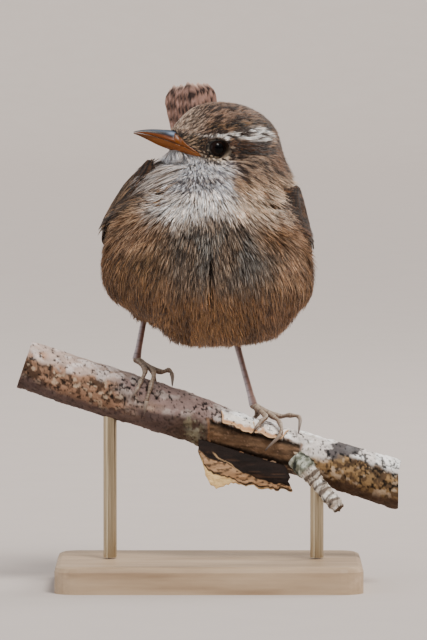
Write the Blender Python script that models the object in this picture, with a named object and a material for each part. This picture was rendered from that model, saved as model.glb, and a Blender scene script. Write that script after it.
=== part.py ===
"""A life-size Eurasian wren on a cut length of birch branch, held by a plain display stand.

The bird faces -Y with its head turned to its right (-X) and its tail cocked.
Every size is in millimetres until MM turns it into metres. +Z is up and the floor is z = 0.
"""

import bmesh
import bpy
import math
from mathutils import Matrix, Vector

MM = 0.001
GAP = 0.3
# Edges shorter than this, in metres, are closed up after a union or a cut.
WELD = 2e-7
MODEL_NAME = "wren"
HELPER_NAME = "cutters"

# Torso outline, bottom to top: height, left, right, front and back.
TORSO_STATIONS = (
    (53.2, -3.0, 4.0, -3.0, 3.0),
    (54.3, -8.5, 12.5, -7.5, 6.0),
    (57.2, -11.5, 17.6, -12.0, 10.0),
    (61.5, -18.6, 20.8, -16.2, 14.5),
    (66.0, -23.2, 23.4, -19.2, 19.0),
    (72.5, -24.1, 22.8, -20.8, 23.2),
    (79.0, -22.2, 20.4, -20.3, 24.3),
    (85.0, -18.4, 18.4, -18.0, 22.2),
    (90.5, -13.8, 17.4, -14.8, 17.4),
    (94.5, -9.5, 17.2, -12.4, 13.6),
    (98.0, 1.0, 16.0, -7.0, 9.4),
    (101.0, 5.0, 14.2, -3.5, 5.5),
)
TORSO_SIDES = 36
TORSO_STEPS = 3
TORSO_ROUNDNESS = 2.15

# The head has its own frame: forward along the bill, side to the bird's left, and up.
HEAD_CENTRE = Vector((2.9, -3.0, 98.9))
HEAD_TURN = math.radians(65.0)
HEAD_PITCH = math.radians(10.0)
# Head outline, nape to chin: forward, half width, top and bottom.
HEAD_STATIONS = (
    (-13.4, 2.4, 1.8, -3.6),
    (-12.3, 5.2, 4.5, -6.6),
    (-9.0, 7.9, 7.3, -8.8),
    (-4.0, 9.1, 8.9, -9.6),
    (0.8, 9.1, 9.2, -9.6),
    (4.8, 7.5, 8.3, -8.7),
    (8.2, 4.9, 6.4, -7.4),
    (10.8, 3.1, 3.6, -5.8),
    (12.6, 1.9, 0.9, -4.6),
    (13.4, 0.9, -1.2, -3.6),
)
HEAD_SIDES = 26
HEAD_STEPS = 2

# Two planes part the flesh into torso, neck and head.
NECK_LOW = 88.6
NECK_HIGH = 95.0
NECK_TILT = math.radians(9.0)
SLAB_WIDTH = 120.0
SLAB_TOP = 180.0

EYE_FORWARD = 3.95
EYE_SIDE = 5.75
EYE_UP = -2.0
EYE_RADIUS = 2.15
LID_RADIUS = 2.05
LID_THICK = 0.36
LID_DEEP = 0.58
LID_OUT = 1.05
LID_LONG = 1.08
LID_HIGH = 0.96
LID_STEPS = 20
LID_SIDES = 6

# Bill outline, gape to tip: forward, mouth line, ridge, keel and half width.
BILL_STATIONS = (
    (7.0, -4.5, -1.6, -6.0, 3.1),
    (10.0, -3.1, -0.4, -4.6, 2.4),
    (12.0, -2.35, 0.45, -3.9, 1.95),
    (15.0, -1.85, 0.25, -3.35, 1.35),
    (18.0, -1.5, -0.2, -2.55, 0.8),
    (20.4, -1.45, -0.85, -1.95, 0.38),
    (21.5, -1.55, -1.3, -1.8, 0.16),
)
BILL_ARC = 6
NOSTRIL_FORWARD = 13.0
NOSTRIL_UP = -0.95
NOSTRIL_SIDE = 1.62
NOSTRIL_LONG = 0.85
NOSTRIL_HIGH = 0.28
NOSTRIL_DEEP = 0.45

# The folded wing lies on the flank, from the wrist at the front to the tip by the rump.
# Each wing: the angles round the torso and the heights of its front and back ends.
WINGS = {
    "right": {"front": 212.0, "back": 105.0, "front_height": 89.0, "back_height": 71.5},
    "left": {"front": -22.0, "back": 75.0, "front_height": 84.5, "back_height": 69.0},
}
WING_HALF_HEIGHTS = ((0.0, 4.2), (0.15, 6.2), (0.45, 6.6), (0.75, 4.8), (1.0, 1.6))
WING_CLEAR = 0.42
WING_CORE_THICKS = ((0.0, 0.7), (0.08, 1.3), (0.2, 1.55), (0.34, 1.3), (0.5, 0.8))
WING_EDGE_THICK = 0.55
WING_CORE_HALF = 0.94
WING_CORE_POINTS = 5
WING_DROOP = 1.15
WING_TIP_CURVE = 1.2
# Feather tiers of the wing, as shares of its length, from the lowest vane to the highest.
WING_TIERS = (
    {
        "count": 12,
        "root": 0.36,
        "root_fall": 0.04,
        "tip": 1.0,
        "tip_fall": 0.38,
        "low": -0.72,
        "high": 0.8,
        "root_lift": 0.88,
        "tip_lift": 1.15,
        "width": 2.2,
        "widen": 0.9,
    },
    {
        "count": 8,
        "root": 0.2,
        "root_fall": 0.03,
        "tip": 0.52,
        "tip_fall": 0.07,
        "low": -0.74,
        "high": 0.78,
        "root_lift": 1.1,
        "tip_lift": 2.1,
        "width": 2.5,
        "widen": 0.2,
    },
    {
        "count": 7,
        "root": 0.07,
        "root_fall": 0.0,
        "tip": 0.31,
        "tip_fall": 0.03,
        "low": -0.7,
        "high": 0.74,
        "root_lift": 1.0,
        "tip_lift": 2.5,
        "width": 2.5,
        "widen": 0.2,
    },
)
# Outlines of a vane, in shares of its length and width: pointed, and broad to a round tip.
VANE_SHAPE = ((0.0, 0.42), (0.3, 0.85), (0.62, 1.0), (0.86, 0.84), (0.96, 0.5), (1.0, 0.2))
TAIL_VANE_SHAPE = ((0.0, 0.36), (0.3, 0.8), (0.62, 0.98), (0.9, 1.0), (0.972, 0.74), (1.0, 0.32))
VANE_TIP_FROM = 0.9
VANE_THICK = 0.5
VANE_TIP_THICK = 0.36
VANE_TILT = 0.24

TAIL_ROOT = Vector((0.0, 24.6, 77.0))
TAIL_TIP = Vector((-4.4, 28.5, 112.0))
TAIL_BEND = 1.5
TAIL_PAIRS = 6
TAIL_INNER = 0.45
TAIL_PITCH = 0.8
TAIL_STEP = 0.33
TAIL_VANE_WIDTH = 3.3
TAIL_VANE_TILT = 0.12
TAIL_SHORTER = 0.05
TAIL_ROOT_SHARE = 0.04
# The fan opens from this share of its width at the root, by this rate along the tail.
TAIL_FAN_ROOT = 0.3
TAIL_FAN_RATE = 1.15
TAIL_CORE_SIZE = (5.0, 4.2, 7.2)
TAIL_CORE_PLACE = (0.06, 0.9)
COVERT_TILT = 0.1
COVERT_SIDE_DROP = 0.4
COVERT_SIDE_SHORTER = 0.12
TAIL_COVERTS = (
    {"count": 5, "reach": 0.4, "lift": 1.3, "spread": 3.3, "width": 3.2},
    {"count": 4, "reach": 0.46, "lift": -3.3, "spread": 3.3, "width": 3.6},
)

# The perch runs along X and falls to the right: x, height of its axis and radius.
PERCH_STATIONS = (
    (-41.0, 49.4, 5.2),
    (-30.0, 45.7, 5.35),
    (-17.0, 41.5, 5.3),
    (-4.0, 37.4, 5.15),
    (7.0, 33.5, 4.6),
    (18.0, 30.1, 4.75),
    (30.0, 26.4, 5.1),
    (42.0, 22.4, 5.3),
)
PERCH_SIDES = 18
PERCH_STEPS = 2
PERCH_LUMP = 0.03
TWIG_ROOT = Vector((20.5, -3.6, 27.6))
TWIG_TIP = Vector((28.8, -8.2, 17.8))
TWIG_RADIUS = 2.0
TWIG_SIDES = 12
# The twig's outline: share of its length and share of its radius.
TWIG_SHAPE = ((0.0, 1.15), (0.3, 1.0), (0.45, 1.12), (0.7, 0.92), (0.9, 0.85), (1.0, 0.6))
FLAP_START = -1.5
FLAP_END = 17.5
FLAP_DROP = 6.5
FLAP_THICK = 0.7
FLAP_STATIONS = 7
FLAP_NARROWER = 0.55
FLAP_TOP_ANGLE = 128.0
FLAP_FOLD_ANGLE = 150.0
FLAP_CLEAR = 0.4
FLAP_HANG = Vector((0.4, -0.6, -0.7))

# Each leg aims from a hidden heel at the joint of its toes, and shows below the torso.
HEELS = {"right": Vector((-13.2, 5.6, 66.0)), "left": Vector((5.0, 4.6, 58.0))}
TOE_JOINTS = {"right": Vector((-16.1, 0.9, 50.4)), "left": Vector((9.9, 0.7, 40.2))}
SHANK_RADIUS = 0.72
SHANK_ANKLE = 0.95
THIGH_TOP_RADIUS = 2.9
THIGH_LOW_RADIUS = 1.15
THIGH_RISE = 3.0
THIGH_DROP = 2.8
TOE_RADIUS = 0.62
TOE_CLEAR = 0.35
CLAW_RADIUS = 0.42
CLAW_TIP_RADIUS = 0.16
TOE_STEPS = 3
TOE_JOINT_SHARE = 1.08
KNUCKLE_HEIGHT = 0.12
# The shank's outline: share of its length and share of its radius.
SHANK_SHAPE = ((0.0, 1.1), (0.12, 1.0), (0.5, 0.92), (0.85, 0.98), (1.0, 1.15))

# Each toe: points of x offset from the joint, angle round the perch from its top, and lift.
TOES = {
    "right": (
        ((-0.3, 22.0, 1.6), (-0.4, 46.0, 0.3), (-0.6, 62.0, 0.5), (-1.1, 84.0, -0.2)),
        ((1.4, 20.0, 1.8), (1.9, 50.0, 0.6), (2.0, 82.0, 0.3), (2.4, 108.0, -0.2)),
        ((2.6, 8.0, 1.6), (4.6, 4.0, 2.4), (5.6, 10.0, 1.7), (6.3, 24.0, -0.2)),
        ((1.2, -26.0, 1.8), (2.6, -48.0, 0.5), (3.2, -72.0, 0.5), (3.6, -96.0, -0.2)),
    ),
    "left": (
        ((0.9, 24.0, 0.9), (0.4, 40.0, 0.6), (0.0, 52.0, 0.4), (-0.5, 66.0, -0.2)),
        ((2.2, 16.0, 1.0), (4.2, 34.0, 1.0), (5.0, 62.0, 0.8), (2.9, 104.0, -0.2)),
        ((3.4, -2.0, 1.0), (5.9, 4.0, 1.9), (8.0, 12.0, 2.1), (8.7, 40.0, -0.1)),
        ((-0.8, -30.0, 1.0), (-1.4, -54.0, 0.4), (-1.6, -78.0, 0.4), (-1.8, -104.0, -0.2)),
    ),
}

BASE_LENGTH = 68.0
BASE_DEPTH = 46.0
BASE_HEIGHT = 6.0
BASE_EDGE = 1.2
BASE_CORNER = 5.0
ROD_RADIUS = 1.5
ROD_PLACES = {"left": -22.0, "right": 24.0}
ROD_SIDES = 20


def clear_scene():
    for item in list(bpy.data.objects):
        bpy.data.objects.remove(item, do_unlink=True)


def make_collection(name):
    collection = bpy.data.collections.new(name)
    bpy.context.scene.collection.children.link(collection)
    return collection


def make_material(name, colour, roughness, metallic=0.0):
    material = bpy.data.materials.new(name)
    material.use_nodes = True
    shader = material.node_tree.nodes["Principled BSDF"]
    shader.inputs["Base Color"].default_value = (*colour, 1.0)
    shader.inputs["Roughness"].default_value = roughness
    shader.inputs["Metallic"].default_value = metallic
    return material


def catmull(values, place):
    """The smooth value at a place between 0 and the last index of the rows."""
    last = len(values) - 1
    index = min(int(place), last - 1)
    t = place - index
    rows = [values[max(0, min(last, index + k))] for k in (-1, 0, 1, 2)]
    weights = (
        -0.5 * t + t * t - 0.5 * t**3,
        1.0 - 2.5 * t * t + 1.5 * t**3,
        0.5 * t + 2.0 * t * t - 1.5 * t**3,
        -0.5 * t * t + 0.5 * t**3,
    )
    return [sum(w * row[c] for w, row in zip(weights, rows)) for c in range(len(rows[0]))]


def station_rows(stations, steps):
    """All the rows of a smooth outline, with the given steps between stations."""
    count = (len(stations) - 1) * steps
    return [catmull(stations, k / steps) for k in range(count + 1)]


def row_at(stations, value):
    """The smooth row whose first entry is the value, found by halving."""
    low, high = 0.0, len(stations) - 1.0
    for _ in range(40):
        middle = (low + high) / 2
        if catmull(stations, middle)[0] < value:
            low = middle
        else:
            high = middle
    return catmull(stations, (low + high) / 2)


def pick(pairs, place):
    """The value at a place between (place, value) pairs, eased at each pair."""
    for (p0, v0), (p1, v1) in zip(pairs, pairs[1:]):
        if place <= p1:
            t = (place - p0) / (p1 - p0)
            eased = t * t * (3 - 2 * t)
            return v0 + (v1 - v0) * eased
    return pairs[-1][1]


def add_object(name, bm, collection, material=None):
    """A mesh object from a bmesh given in millimetres."""
    bmesh.ops.scale(bm, vec=(MM, MM, MM), verts=bm.verts)
    bmesh.ops.recalc_face_normals(bm, faces=bm.faces)
    mesh = bpy.data.meshes.new(name)
    bm.to_mesh(mesh)
    bm.free()
    item = bpy.data.objects.new(name, mesh)
    collection.objects.link(item)
    mesh.shade_smooth()
    if material:
        mesh.materials.append(material)
    return item


def ring_mesh(rings):
    """A closed body skinned over rings of equal counts, with flat ends."""
    bm = bmesh.new()
    loops = [[bm.verts.new(point) for point in ring] for ring in rings]
    count = len(loops[0])
    for lower, upper in zip(loops, loops[1:]):
        for k in range(count):
            after = (k + 1) % count
            a, b, c, d = lower[k], lower[after], upper[after], upper[k]
            bm.faces.new((a, b, c))
            bm.faces.new((a, c, d))
    bm.faces.new(list(reversed(loops[0])))
    bm.faces.new(loops[-1])
    return bm


def rounded(angle, power):
    """A point on a unit superellipse."""
    c, s = math.cos(angle), math.sin(angle)
    return (
        math.copysign(abs(c) ** (2.0 / power), c),
        math.copysign(abs(s) ** (2.0 / power), s),
    )


def torso_ring(row, grow=0.0):
    height, left, right, front, back = row
    centre_x, centre_y = (left + right) / 2, (front + back) / 2
    half_x, half_y = (right - left) / 2 + grow, (back - front) / 2 + grow
    ring = []
    for k in range(TORSO_SIDES):
        x, y = rounded(2 * math.pi * k / TORSO_SIDES, TORSO_ROUNDNESS)
        ring.append(Vector((centre_x + half_x * x, centre_y + half_y * y, height)))
    return ring


def torso_mesh(grow=0.0):
    rows = station_rows(TORSO_STATIONS, TORSO_STEPS)
    rings = [torso_ring(row, grow) for row in rows]
    for k, sign in ((0, -1), (-1, 1)):
        for point in rings[k]:
            point.z += sign * grow
    return ring_mesh(rings)


def torso_point(angle_degrees, height, lift):
    """The point over the torso's surface at an angle, a height and a lift."""

    def on_surface(angle, level):
        _, left, right, front, back = row_at(TORSO_STATIONS, level)
        x, y = rounded(angle, TORSO_ROUNDNESS)
        return Vector(
            (
                (left + right) / 2 + (right - left) / 2 * x,
                (front + back) / 2 + (back - front) / 2 * y,
                level,
            )
        )

    angle = math.radians(angle_degrees)
    step = 0.01
    along = on_surface(angle + step, height) - on_surface(angle - step, height)
    rise = on_surface(angle, height + 0.2) - on_surface(angle, height - 0.2)
    return on_surface(angle, height) + along.cross(rise).normalized() * lift


def inside_torso(point):
    if not TORSO_STATIONS[0][0] < point.z < TORSO_STATIONS[-1][0]:
        return False
    _, left, right, front, back = row_at(TORSO_STATIONS, point.z)
    x = abs(2 * point.x - left - right) / (right - left)
    y = abs(2 * point.y - front - back) / (back - front)
    return x**TORSO_ROUNDNESS + y**TORSO_ROUNDNESS < 1


def torso_exit(start, end):
    """Where a line from inside the torso leaves it."""
    low, high = 0.0, 1.0
    for _ in range(30):
        middle = (low + high) / 2
        if inside_torso(start.lerp(end, middle)):
            low = middle
        else:
            high = middle
    return start.lerp(end, low)


def head_axes():
    forward_flat = Vector((-math.sin(HEAD_TURN), -math.cos(HEAD_TURN), 0))
    side = Vector((0, 0, 1)).cross(forward_flat)
    forward = forward_flat * math.cos(HEAD_PITCH) + Vector((0, 0, math.sin(HEAD_PITCH)))
    return forward, side, forward.cross(side)


def head_place(forward, side, up):
    axis_f, axis_s, axis_u = head_axes()
    return HEAD_CENTRE + axis_f * forward + axis_s * side + axis_u * up


def head_mesh():
    rings = []
    for forward, half, top, bottom in station_rows(HEAD_STATIONS, HEAD_STEPS):
        ring = []
        for k in range(HEAD_SIDES):
            angle = 2 * math.pi * k / HEAD_SIDES
            up = (top + bottom) / 2 + (top - bottom) / 2 * math.sin(angle)
            ring.append(head_place(forward, half * math.cos(angle), up))
        rings.append(ring)
    return ring_mesh(rings)


def boolean(target, operation, cutters, solver="EXACT"):
    """Joins or cuts the target with closed meshes, applies it and removes them."""
    holder = make_collection("boolean_pieces")
    for cutter in cutters:
        for owner in list(cutter.users_collection):
            owner.objects.unlink(cutter)
        holder.objects.link(cutter)
    modifier = target.modifiers.new("join", "BOOLEAN")
    modifier.operation = operation
    modifier.operand_type = "COLLECTION"
    modifier.collection = holder
    modifier.solver = solver
    graph = bpy.context.evaluated_depsgraph_get()
    result = bpy.data.meshes.new_from_object(target.evaluated_get(graph))
    own = [material for material in target.data.materials if material]
    result.materials.clear()
    for material in own:
        result.materials.append(material)
    for polygon in result.polygons:
        polygon.material_index = 0
    target.modifiers.clear()
    target.data = result
    for cutter in list(holder.objects):
        bpy.data.objects.remove(cutter, do_unlink=True)
    bpy.data.collections.remove(holder)
    return target


def keep_largest(item):
    """Welds the mesh, cuts it into triangles and keeps its largest closed surface."""
    bm = bmesh.new()
    bm.from_mesh(item.data)
    bmesh.ops.dissolve_degenerate(bm, edges=bm.edges, dist=WELD)
    bmesh.ops.triangulate(bm, faces=bm.faces)
    left = set(bm.faces)
    shells = []
    while left:
        shell, front = set(), [left.pop()]
        while front:
            face = front.pop()
            shell.add(face)
            near = {other for edge in face.edges for other in edge.link_faces}
            front.extend(near & left)
            left -= near
        shells.append(shell)
    largest = max(shells, key=lambda shell: sum(face.calc_area() for face in shell))
    spare = [face for face in bm.faces if face not in largest]
    bmesh.ops.delete(bm, geom=spare, context="FACES")
    bmesh.ops.recalc_face_normals(bm, faces=bm.faces)
    bm.to_mesh(item.data)
    bm.free()
    item.data.shade_smooth()
    return item


def copy_of(item, name, collection):
    twin = item.copy()
    twin.data = item.data.copy()
    twin.name = name
    collection.objects.link(twin)
    return twin


def parting_box(low, high, collection):
    """A wide slab between two heights, tilted as the neck is."""
    bm = bmesh.new()
    size = Vector((SLAB_WIDTH, SLAB_WIDTH, high - low))
    bmesh.ops.create_cube(bm, size=1.0)
    bmesh.ops.scale(bm, vec=size, verts=bm.verts)
    bmesh.ops.translate(bm, vec=(0, 0, (low + high) / 2 - NECK_LOW), verts=bm.verts)
    turn = Matrix.Rotation(-NECK_TILT, 4, "Y")
    bmesh.ops.rotate(bm, matrix=turn, cent=(0, 0, 0), verts=bm.verts)
    bmesh.ops.translate(bm, vec=(HEAD_CENTRE.x, 0, NECK_LOW), verts=bm.verts)
    return add_object("slab", bm, collection)


def ball(centre, radius, collection, segments=16, scale=(1, 1, 1), turn=None):
    bm = bmesh.new()
    bmesh.ops.create_uvsphere(bm, u_segments=segments, v_segments=segments // 2 + 1, radius=radius)
    bmesh.ops.scale(bm, vec=scale, verts=bm.verts)
    if turn:
        bmesh.ops.rotate(bm, matrix=turn, cent=(0, 0, 0), verts=bm.verts)
    bmesh.ops.translate(bm, vec=centre, verts=bm.verts)
    return add_object("ball", bm, collection)


def frame_matrix(x_axis, y_axis, z_axis):
    return Matrix((x_axis, y_axis, z_axis)).transposed().to_4x4()


def lid_ring(side, collection):
    """The rim of both lids round an eye, a little longer than it is high."""
    axis_f, axis_s, axis_u = head_axes()
    centre = head_place(EYE_FORWARD, side * (EYE_SIDE + LID_OUT), EYE_UP)
    rings = []
    for k in range(LID_STEPS):
        around = 2 * math.pi * k / LID_STEPS
        out = axis_f * math.cos(around) * LID_LONG + axis_u * math.sin(around) * LID_HIGH
        ring = []
        for m in range(LID_SIDES):
            turn = 2 * math.pi * m / LID_SIDES
            ring.append(
                centre
                + out * (LID_RADIUS + LID_THICK * math.cos(turn))
                + axis_s * (side * LID_DEEP * math.sin(turn))
            )
        rings.append(ring)
    bm = bmesh.new()
    loops = [[bm.verts.new(point) for point in ring] for ring in rings]
    for k in range(LID_STEPS):
        here, there = loops[k], loops[(k + 1) % LID_STEPS]
        for m in range(LID_SIDES):
            n = (m + 1) % LID_SIDES
            bm.faces.new((here[m], here[n], there[n], there[m]))
    return add_object("lid", bm, collection)


def bill_half(name, upper, collection, material=None, grow=0.0):
    """The upper or lower half of the bill, on either side of the mouth line."""
    sign = 1 if upper else -1
    rings = []
    for forward, mouth, ridge, keel, half in station_rows(BILL_STATIONS, 2):
        edge = mouth + sign * (GAP / 2 - grow)
        far = (ridge if upper else keel) + sign * grow
        wide = half + grow
        ring = []
        for k in range(BILL_ARC + 1):
            angle = math.pi * k / BILL_ARC
            ring.append(
                head_place(forward, wide * math.cos(angle), edge + (far - edge) * math.sin(angle))
            )
        rings.append(ring)
    if grow:
        back = head_axes()[0] * -grow
        rings[0] = [point + back for point in rings[0]]
    return add_object(name, ring_mesh(rings), collection, material)


def build_flesh(parts, helpers, materials):
    """Head, neck and torso, modelled whole and parted by thin cuts."""
    whole = add_object("flesh", torso_mesh(), helpers)
    boolean(whole, "UNION", [add_object("head_form", head_mesh(), helpers)])
    pieces = {}
    for name, low, high in (
        ("torso", 0.0, NECK_LOW),
        ("neck", NECK_LOW + GAP, NECK_HIGH),
        ("head", NECK_HIGH + GAP, SLAB_TOP),
    ):
        piece = copy_of(whole, name, parts)
        boolean(piece, "INTERSECT", [parting_box(low, high, helpers)])
        piece.data.materials.clear()
        piece.data.materials.append(materials["plumage"])
        pieces[name] = keep_largest(piece)
    bpy.data.objects.remove(whole, do_unlink=True)
    return pieces


def finish_head(head, helpers):
    """Adds the lids and opens the seats of the eyes and of the bill."""
    boolean(head, "UNION", [lid_ring(side, helpers) for side in (1, -1)])
    cutters = []
    for side in (1, -1):
        centre = head_place(EYE_FORWARD, side * EYE_SIDE, EYE_UP)
        cutters.append(ball(centre, EYE_RADIUS + GAP, helpers, 20))
    cutters.append(bill_half("upper_seat", True, helpers, grow=GAP))
    cutters.append(bill_half("lower_seat", False, helpers, grow=GAP))
    boolean(head, "DIFFERENCE", cutters, "MANIFOLD")
    keep_largest(head)


def build_eyes(parts, materials):
    for name, side in (("eye_left", 1), ("eye_right", -1)):
        eye = ball(head_place(EYE_FORWARD, side * EYE_SIDE, EYE_UP), EYE_RADIUS, parts, 16)
        eye.name = name
        eye.data.materials.append(materials["eye"])


def build_bill(parts, helpers, materials):
    """Both halves of the bill, with a slit of a nostril on each side of the upper one."""
    upper = bill_half("bill_upper", True, parts, materials["bill_dark"])
    bill_half("bill_lower", False, parts, materials["bill_pale"])
    turn = frame_matrix(*head_axes())
    size = (NOSTRIL_LONG, NOSTRIL_DEEP, NOSTRIL_HIGH)
    nostrils = []
    for side in (1, -1):
        centre = head_place(NOSTRIL_FORWARD, side * NOSTRIL_SIDE, NOSTRIL_UP)
        nostrils.append(ball(centre, 1.0, helpers, 10, size, turn))
    boolean(upper, "DIFFERENCE", nostrils)
    keep_largest(upper)


def wing_point(side, along, across, lift):
    """A place on the folded wing: along it, across it (-1 to 1) and above the flank."""
    wing = WINGS[side]
    angle = wing["front"] + (wing["back"] - wing["front"]) * along
    fall = wing["front_height"] - wing["back_height"]
    middle = wing["front_height"] - fall * max(along, 0.0) ** WING_DROOP
    height = middle + across * pick(WING_HALF_HEIGHTS, min(along, 1.0))
    return torso_point(angle, height, lift)


def blade(place, tilt, width, collection, shape=VANE_SHAPE):
    """A thin feather vane. place(share, offset, lift) gives its points; one edge rides higher."""
    bm = bmesh.new()
    rows = []
    for share, wide in shape:
        half = width * wide / 2
        thick = VANE_THICK if share <= VANE_TIP_FROM else VANE_TIP_THICK
        corners = []
        for sign, layer in ((-1, 1), (1, 1), (1, -1), (-1, -1)):
            offset = sign * half
            corners.append(bm.verts.new(place(share, offset, tilt * offset + layer * thick / 2)))
        rows.append(corners)
    for (a, b, c, d), (e, f, g, h) in zip(rows, rows[1:]):
        top_and_under = ((a, b, f), (a, f, e), (d, g, c), (d, h, g))
        edges = ((a, e, h), (a, h, d), (b, c, g), (b, g, f))
        for corners in top_and_under + edges:
            bm.faces.new(corners)
    a, b, c, d = rows[0]
    bm.faces.new((a, d, c))
    bm.faces.new((a, c, b))
    a, b, c, d = rows[-1]
    bm.faces.new((a, c, d))
    bm.faces.new((a, b, c))
    return add_object("vane", bm, collection)


def wing_blade(side, root, tip, width, tilt, helpers):
    """A vane on the wing, between (along, across, lift) at its root and at its tip."""

    def place(share, offset, lift):
        along = root[0] + (tip[0] - root[0]) * share
        across = root[1] + (tip[1] - root[1]) * share
        rise = root[2] + (tip[2] - root[2]) * min(1.0, share * 2.0)
        half = pick(WING_HALF_HEIGHTS, min(along, 1.0))
        return wing_point(side, along, across + offset / half, rise + lift)

    return blade(place, tilt, width, helpers)


def wing_core(side, parts, materials):
    """The arm and hand of the folded wing, under its coverts."""
    rings = []
    for along, thick in WING_CORE_THICKS:
        outer, inner = [], []
        for m in range(WING_CORE_POINTS):
            across = WING_CORE_HALF * (2 * m / (WING_CORE_POINTS - 1) - 1)
            dome = WING_EDGE_THICK + (thick - WING_EDGE_THICK) * (1 - across * across)
            outer.append(wing_point(side, along, across, WING_CLEAR + dome))
            inner.append(wing_point(side, along, across, WING_CLEAR))
        rings.append(outer + inner[::-1])
    return add_object("wing_" + side, ring_mesh(rings), parts, materials["flight"])


def build_wing(side, parts, helpers, materials):
    """A folded wing: flight feathers below two tiers of coverts, all rooted in its core."""
    wing = wing_core(side, parts, materials)
    vanes = []
    for tier in WING_TIERS:
        count = tier["count"]
        for k in range(count):
            q = k / (count - 1)
            root = (
                tier["root"] - tier["root_fall"] * q,
                tier["low"] + (tier["high"] - tier["low"]) * q,
                tier["root_lift"],
            )
            tip = (
                tier["tip"] - tier["tip_fall"] * q**WING_TIP_CURVE,
                tier["low"] + (tier["high"] - tier["low"]) * q,
                tier["tip_lift"],
            )
            width = tier["width"] + tier["widen"] * q
            vanes.append(wing_blade(side, root, tip, width, VANE_TILT, helpers))
    boolean(wing, "UNION", vanes, "MANIFOLD")
    keep_largest(wing)


def tail_axes():
    along = (TAIL_TIP - TAIL_ROOT).normalized()
    across = Vector((1, 0, 0))
    across = (across - along * across.dot(along)).normalized()
    return along, across, along.cross(across)


def tail_place(along, across, lift):
    """A place on the tail: share of its length, offset to +X and height over its back."""
    axis, side, up = tail_axes()
    length = (TAIL_TIP - TAIL_ROOT).length
    bend = math.sin(math.pi * along) * TAIL_BEND
    return TAIL_ROOT + axis * (along * length) + side * across - up * (lift + bend)


def tail_blade(index, sign, helpers):
    """One tail feather: index 0 is the middle one of its side, and each next one lies lower."""
    offset = sign * (TAIL_INNER + TAIL_PITCH * index)
    level = -TAIL_STEP * index - (TAIL_STEP / 2 if sign > 0 else 0.0)
    reach = 1.0 - TAIL_SHORTER * (index / (TAIL_PAIRS - 1)) ** 2

    def place(share, across, lift):
        along = TAIL_ROOT_SHARE + (reach - TAIL_ROOT_SHARE) * share
        fan = TAIL_FAN_ROOT + (1 - TAIL_FAN_ROOT) * min(1.0, along * TAIL_FAN_RATE)
        return tail_place(along, offset * fan + across, level + lift)

    return blade(place, -sign * TAIL_VANE_TILT, TAIL_VANE_WIDTH, helpers, TAIL_VANE_SHAPE)


def tail_covert(tier, q, helpers):
    """A short vane over or under the roots of the tail."""
    offset = tier["spread"] * q
    rise = tier["lift"] - COVERT_SIDE_DROP * abs(q)

    def place(share, across, lift):
        along = tier["reach"] * (0.1 + 0.9 * share) * (1.0 - COVERT_SIDE_SHORTER * abs(q))
        level = rise * (0.35 + 0.65 * min(1.0, share * 1.6))
        return tail_place(along, offset * (0.5 + 0.5 * share) + across, level + lift)

    return blade(place, -COVERT_TILT * q, tier["width"], helpers)


def build_tail(parts, helpers, materials):
    """Twelve tail feathers between two tiers of coverts, all rooted in the rump's core."""
    axis, across, up = tail_axes()
    turn = frame_matrix(across, up, axis)
    centre = tail_place(TAIL_CORE_PLACE[0], 0.0, TAIL_CORE_PLACE[1])
    tail = ball(centre, 1.0, parts, 14, TAIL_CORE_SIZE, turn)
    tail.name = "tail"
    tail.data.materials.append(materials["flight"])
    vanes = [tail_blade(k, sign, helpers) for k in range(TAIL_PAIRS) for sign in (1, -1)]
    for tier in TAIL_COVERTS:
        count = tier["count"]
        vanes += [tail_covert(tier, 2 * k / (count - 1) - 1, helpers) for k in range(count)]
    boolean(tail, "UNION", vanes, "MANIFOLD")
    boolean(tail, "DIFFERENCE", [add_object("torso_clear", torso_mesh(GAP), helpers)])
    keep_largest(tail)


def perch_row(x):
    return row_at(PERCH_STATIONS, x)


def perch_mesh(grow=0.0):
    rows = station_rows(PERCH_STATIONS, PERCH_STEPS)
    rings = []
    for k, (x, height, radius) in enumerate(rows):
        before, after = rows[max(0, k - 1)], rows[min(len(rows) - 1, k + 1)]
        along = Vector((after[0] - before[0], 0, after[1] - before[1])).normalized()
        up = Vector((-along.z, 0, along.x))
        ring = []
        for m in range(PERCH_SIDES):
            turn = 2 * math.pi * m / PERCH_SIDES
            lump = radius * (1 + PERCH_LUMP * math.sin(3 * turn + 0.7 * k))
            out = up * math.cos(turn) + Vector((0, -1, 0)) * math.sin(turn)
            ring.append(Vector((x, 0, height)) + out * (lump + grow))
        rings.append(ring)
    return ring_mesh(rings)


def perch_place(x, angle_degrees, lift):
    """A place over the perch: 0 degrees is its top and 90 its front."""
    _, height, radius = perch_row(x)
    slope_row = perch_row(x + 1.0)
    along = Vector((slope_row[0] - x, 0, slope_row[1] - height)).normalized()
    up = Vector((-along.z, 0, along.x))
    turn = math.radians(angle_degrees)
    out = up * math.cos(turn) + Vector((0, -1, 0)) * math.sin(turn)
    return Vector((x, 0, height)) + out * (radius * (1 + PERCH_LUMP) + lift)


def build_perch(parts, helpers, materials):
    """The cut branch, a broken side twig and a hanging strip of bark."""
    add_object("perch", perch_mesh(), parts, materials["bark"])
    rings = []
    axis = (TWIG_TIP - TWIG_ROOT).normalized()
    side = axis.cross(Vector((0, 1, 0))).normalized()
    other = axis.cross(side)
    length = (TWIG_TIP - TWIG_ROOT).length
    for share, thick in TWIG_SHAPE:
        ring = []
        for m in range(TWIG_SIDES):
            turn = 2 * math.pi * m / TWIG_SIDES
            out = side * math.cos(turn) + other * math.sin(turn)
            ring.append(TWIG_ROOT + axis * (length * share) + out * (TWIG_RADIUS * thick))
        rings.append(ring)
    twig = add_object("perch_twig", ring_mesh(rings), parts, materials["bark"])
    boolean(twig, "DIFFERENCE", [add_object("perch_clear", perch_mesh(GAP), helpers)])
    keep_largest(twig)
    build_flap(parts, materials)


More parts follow.
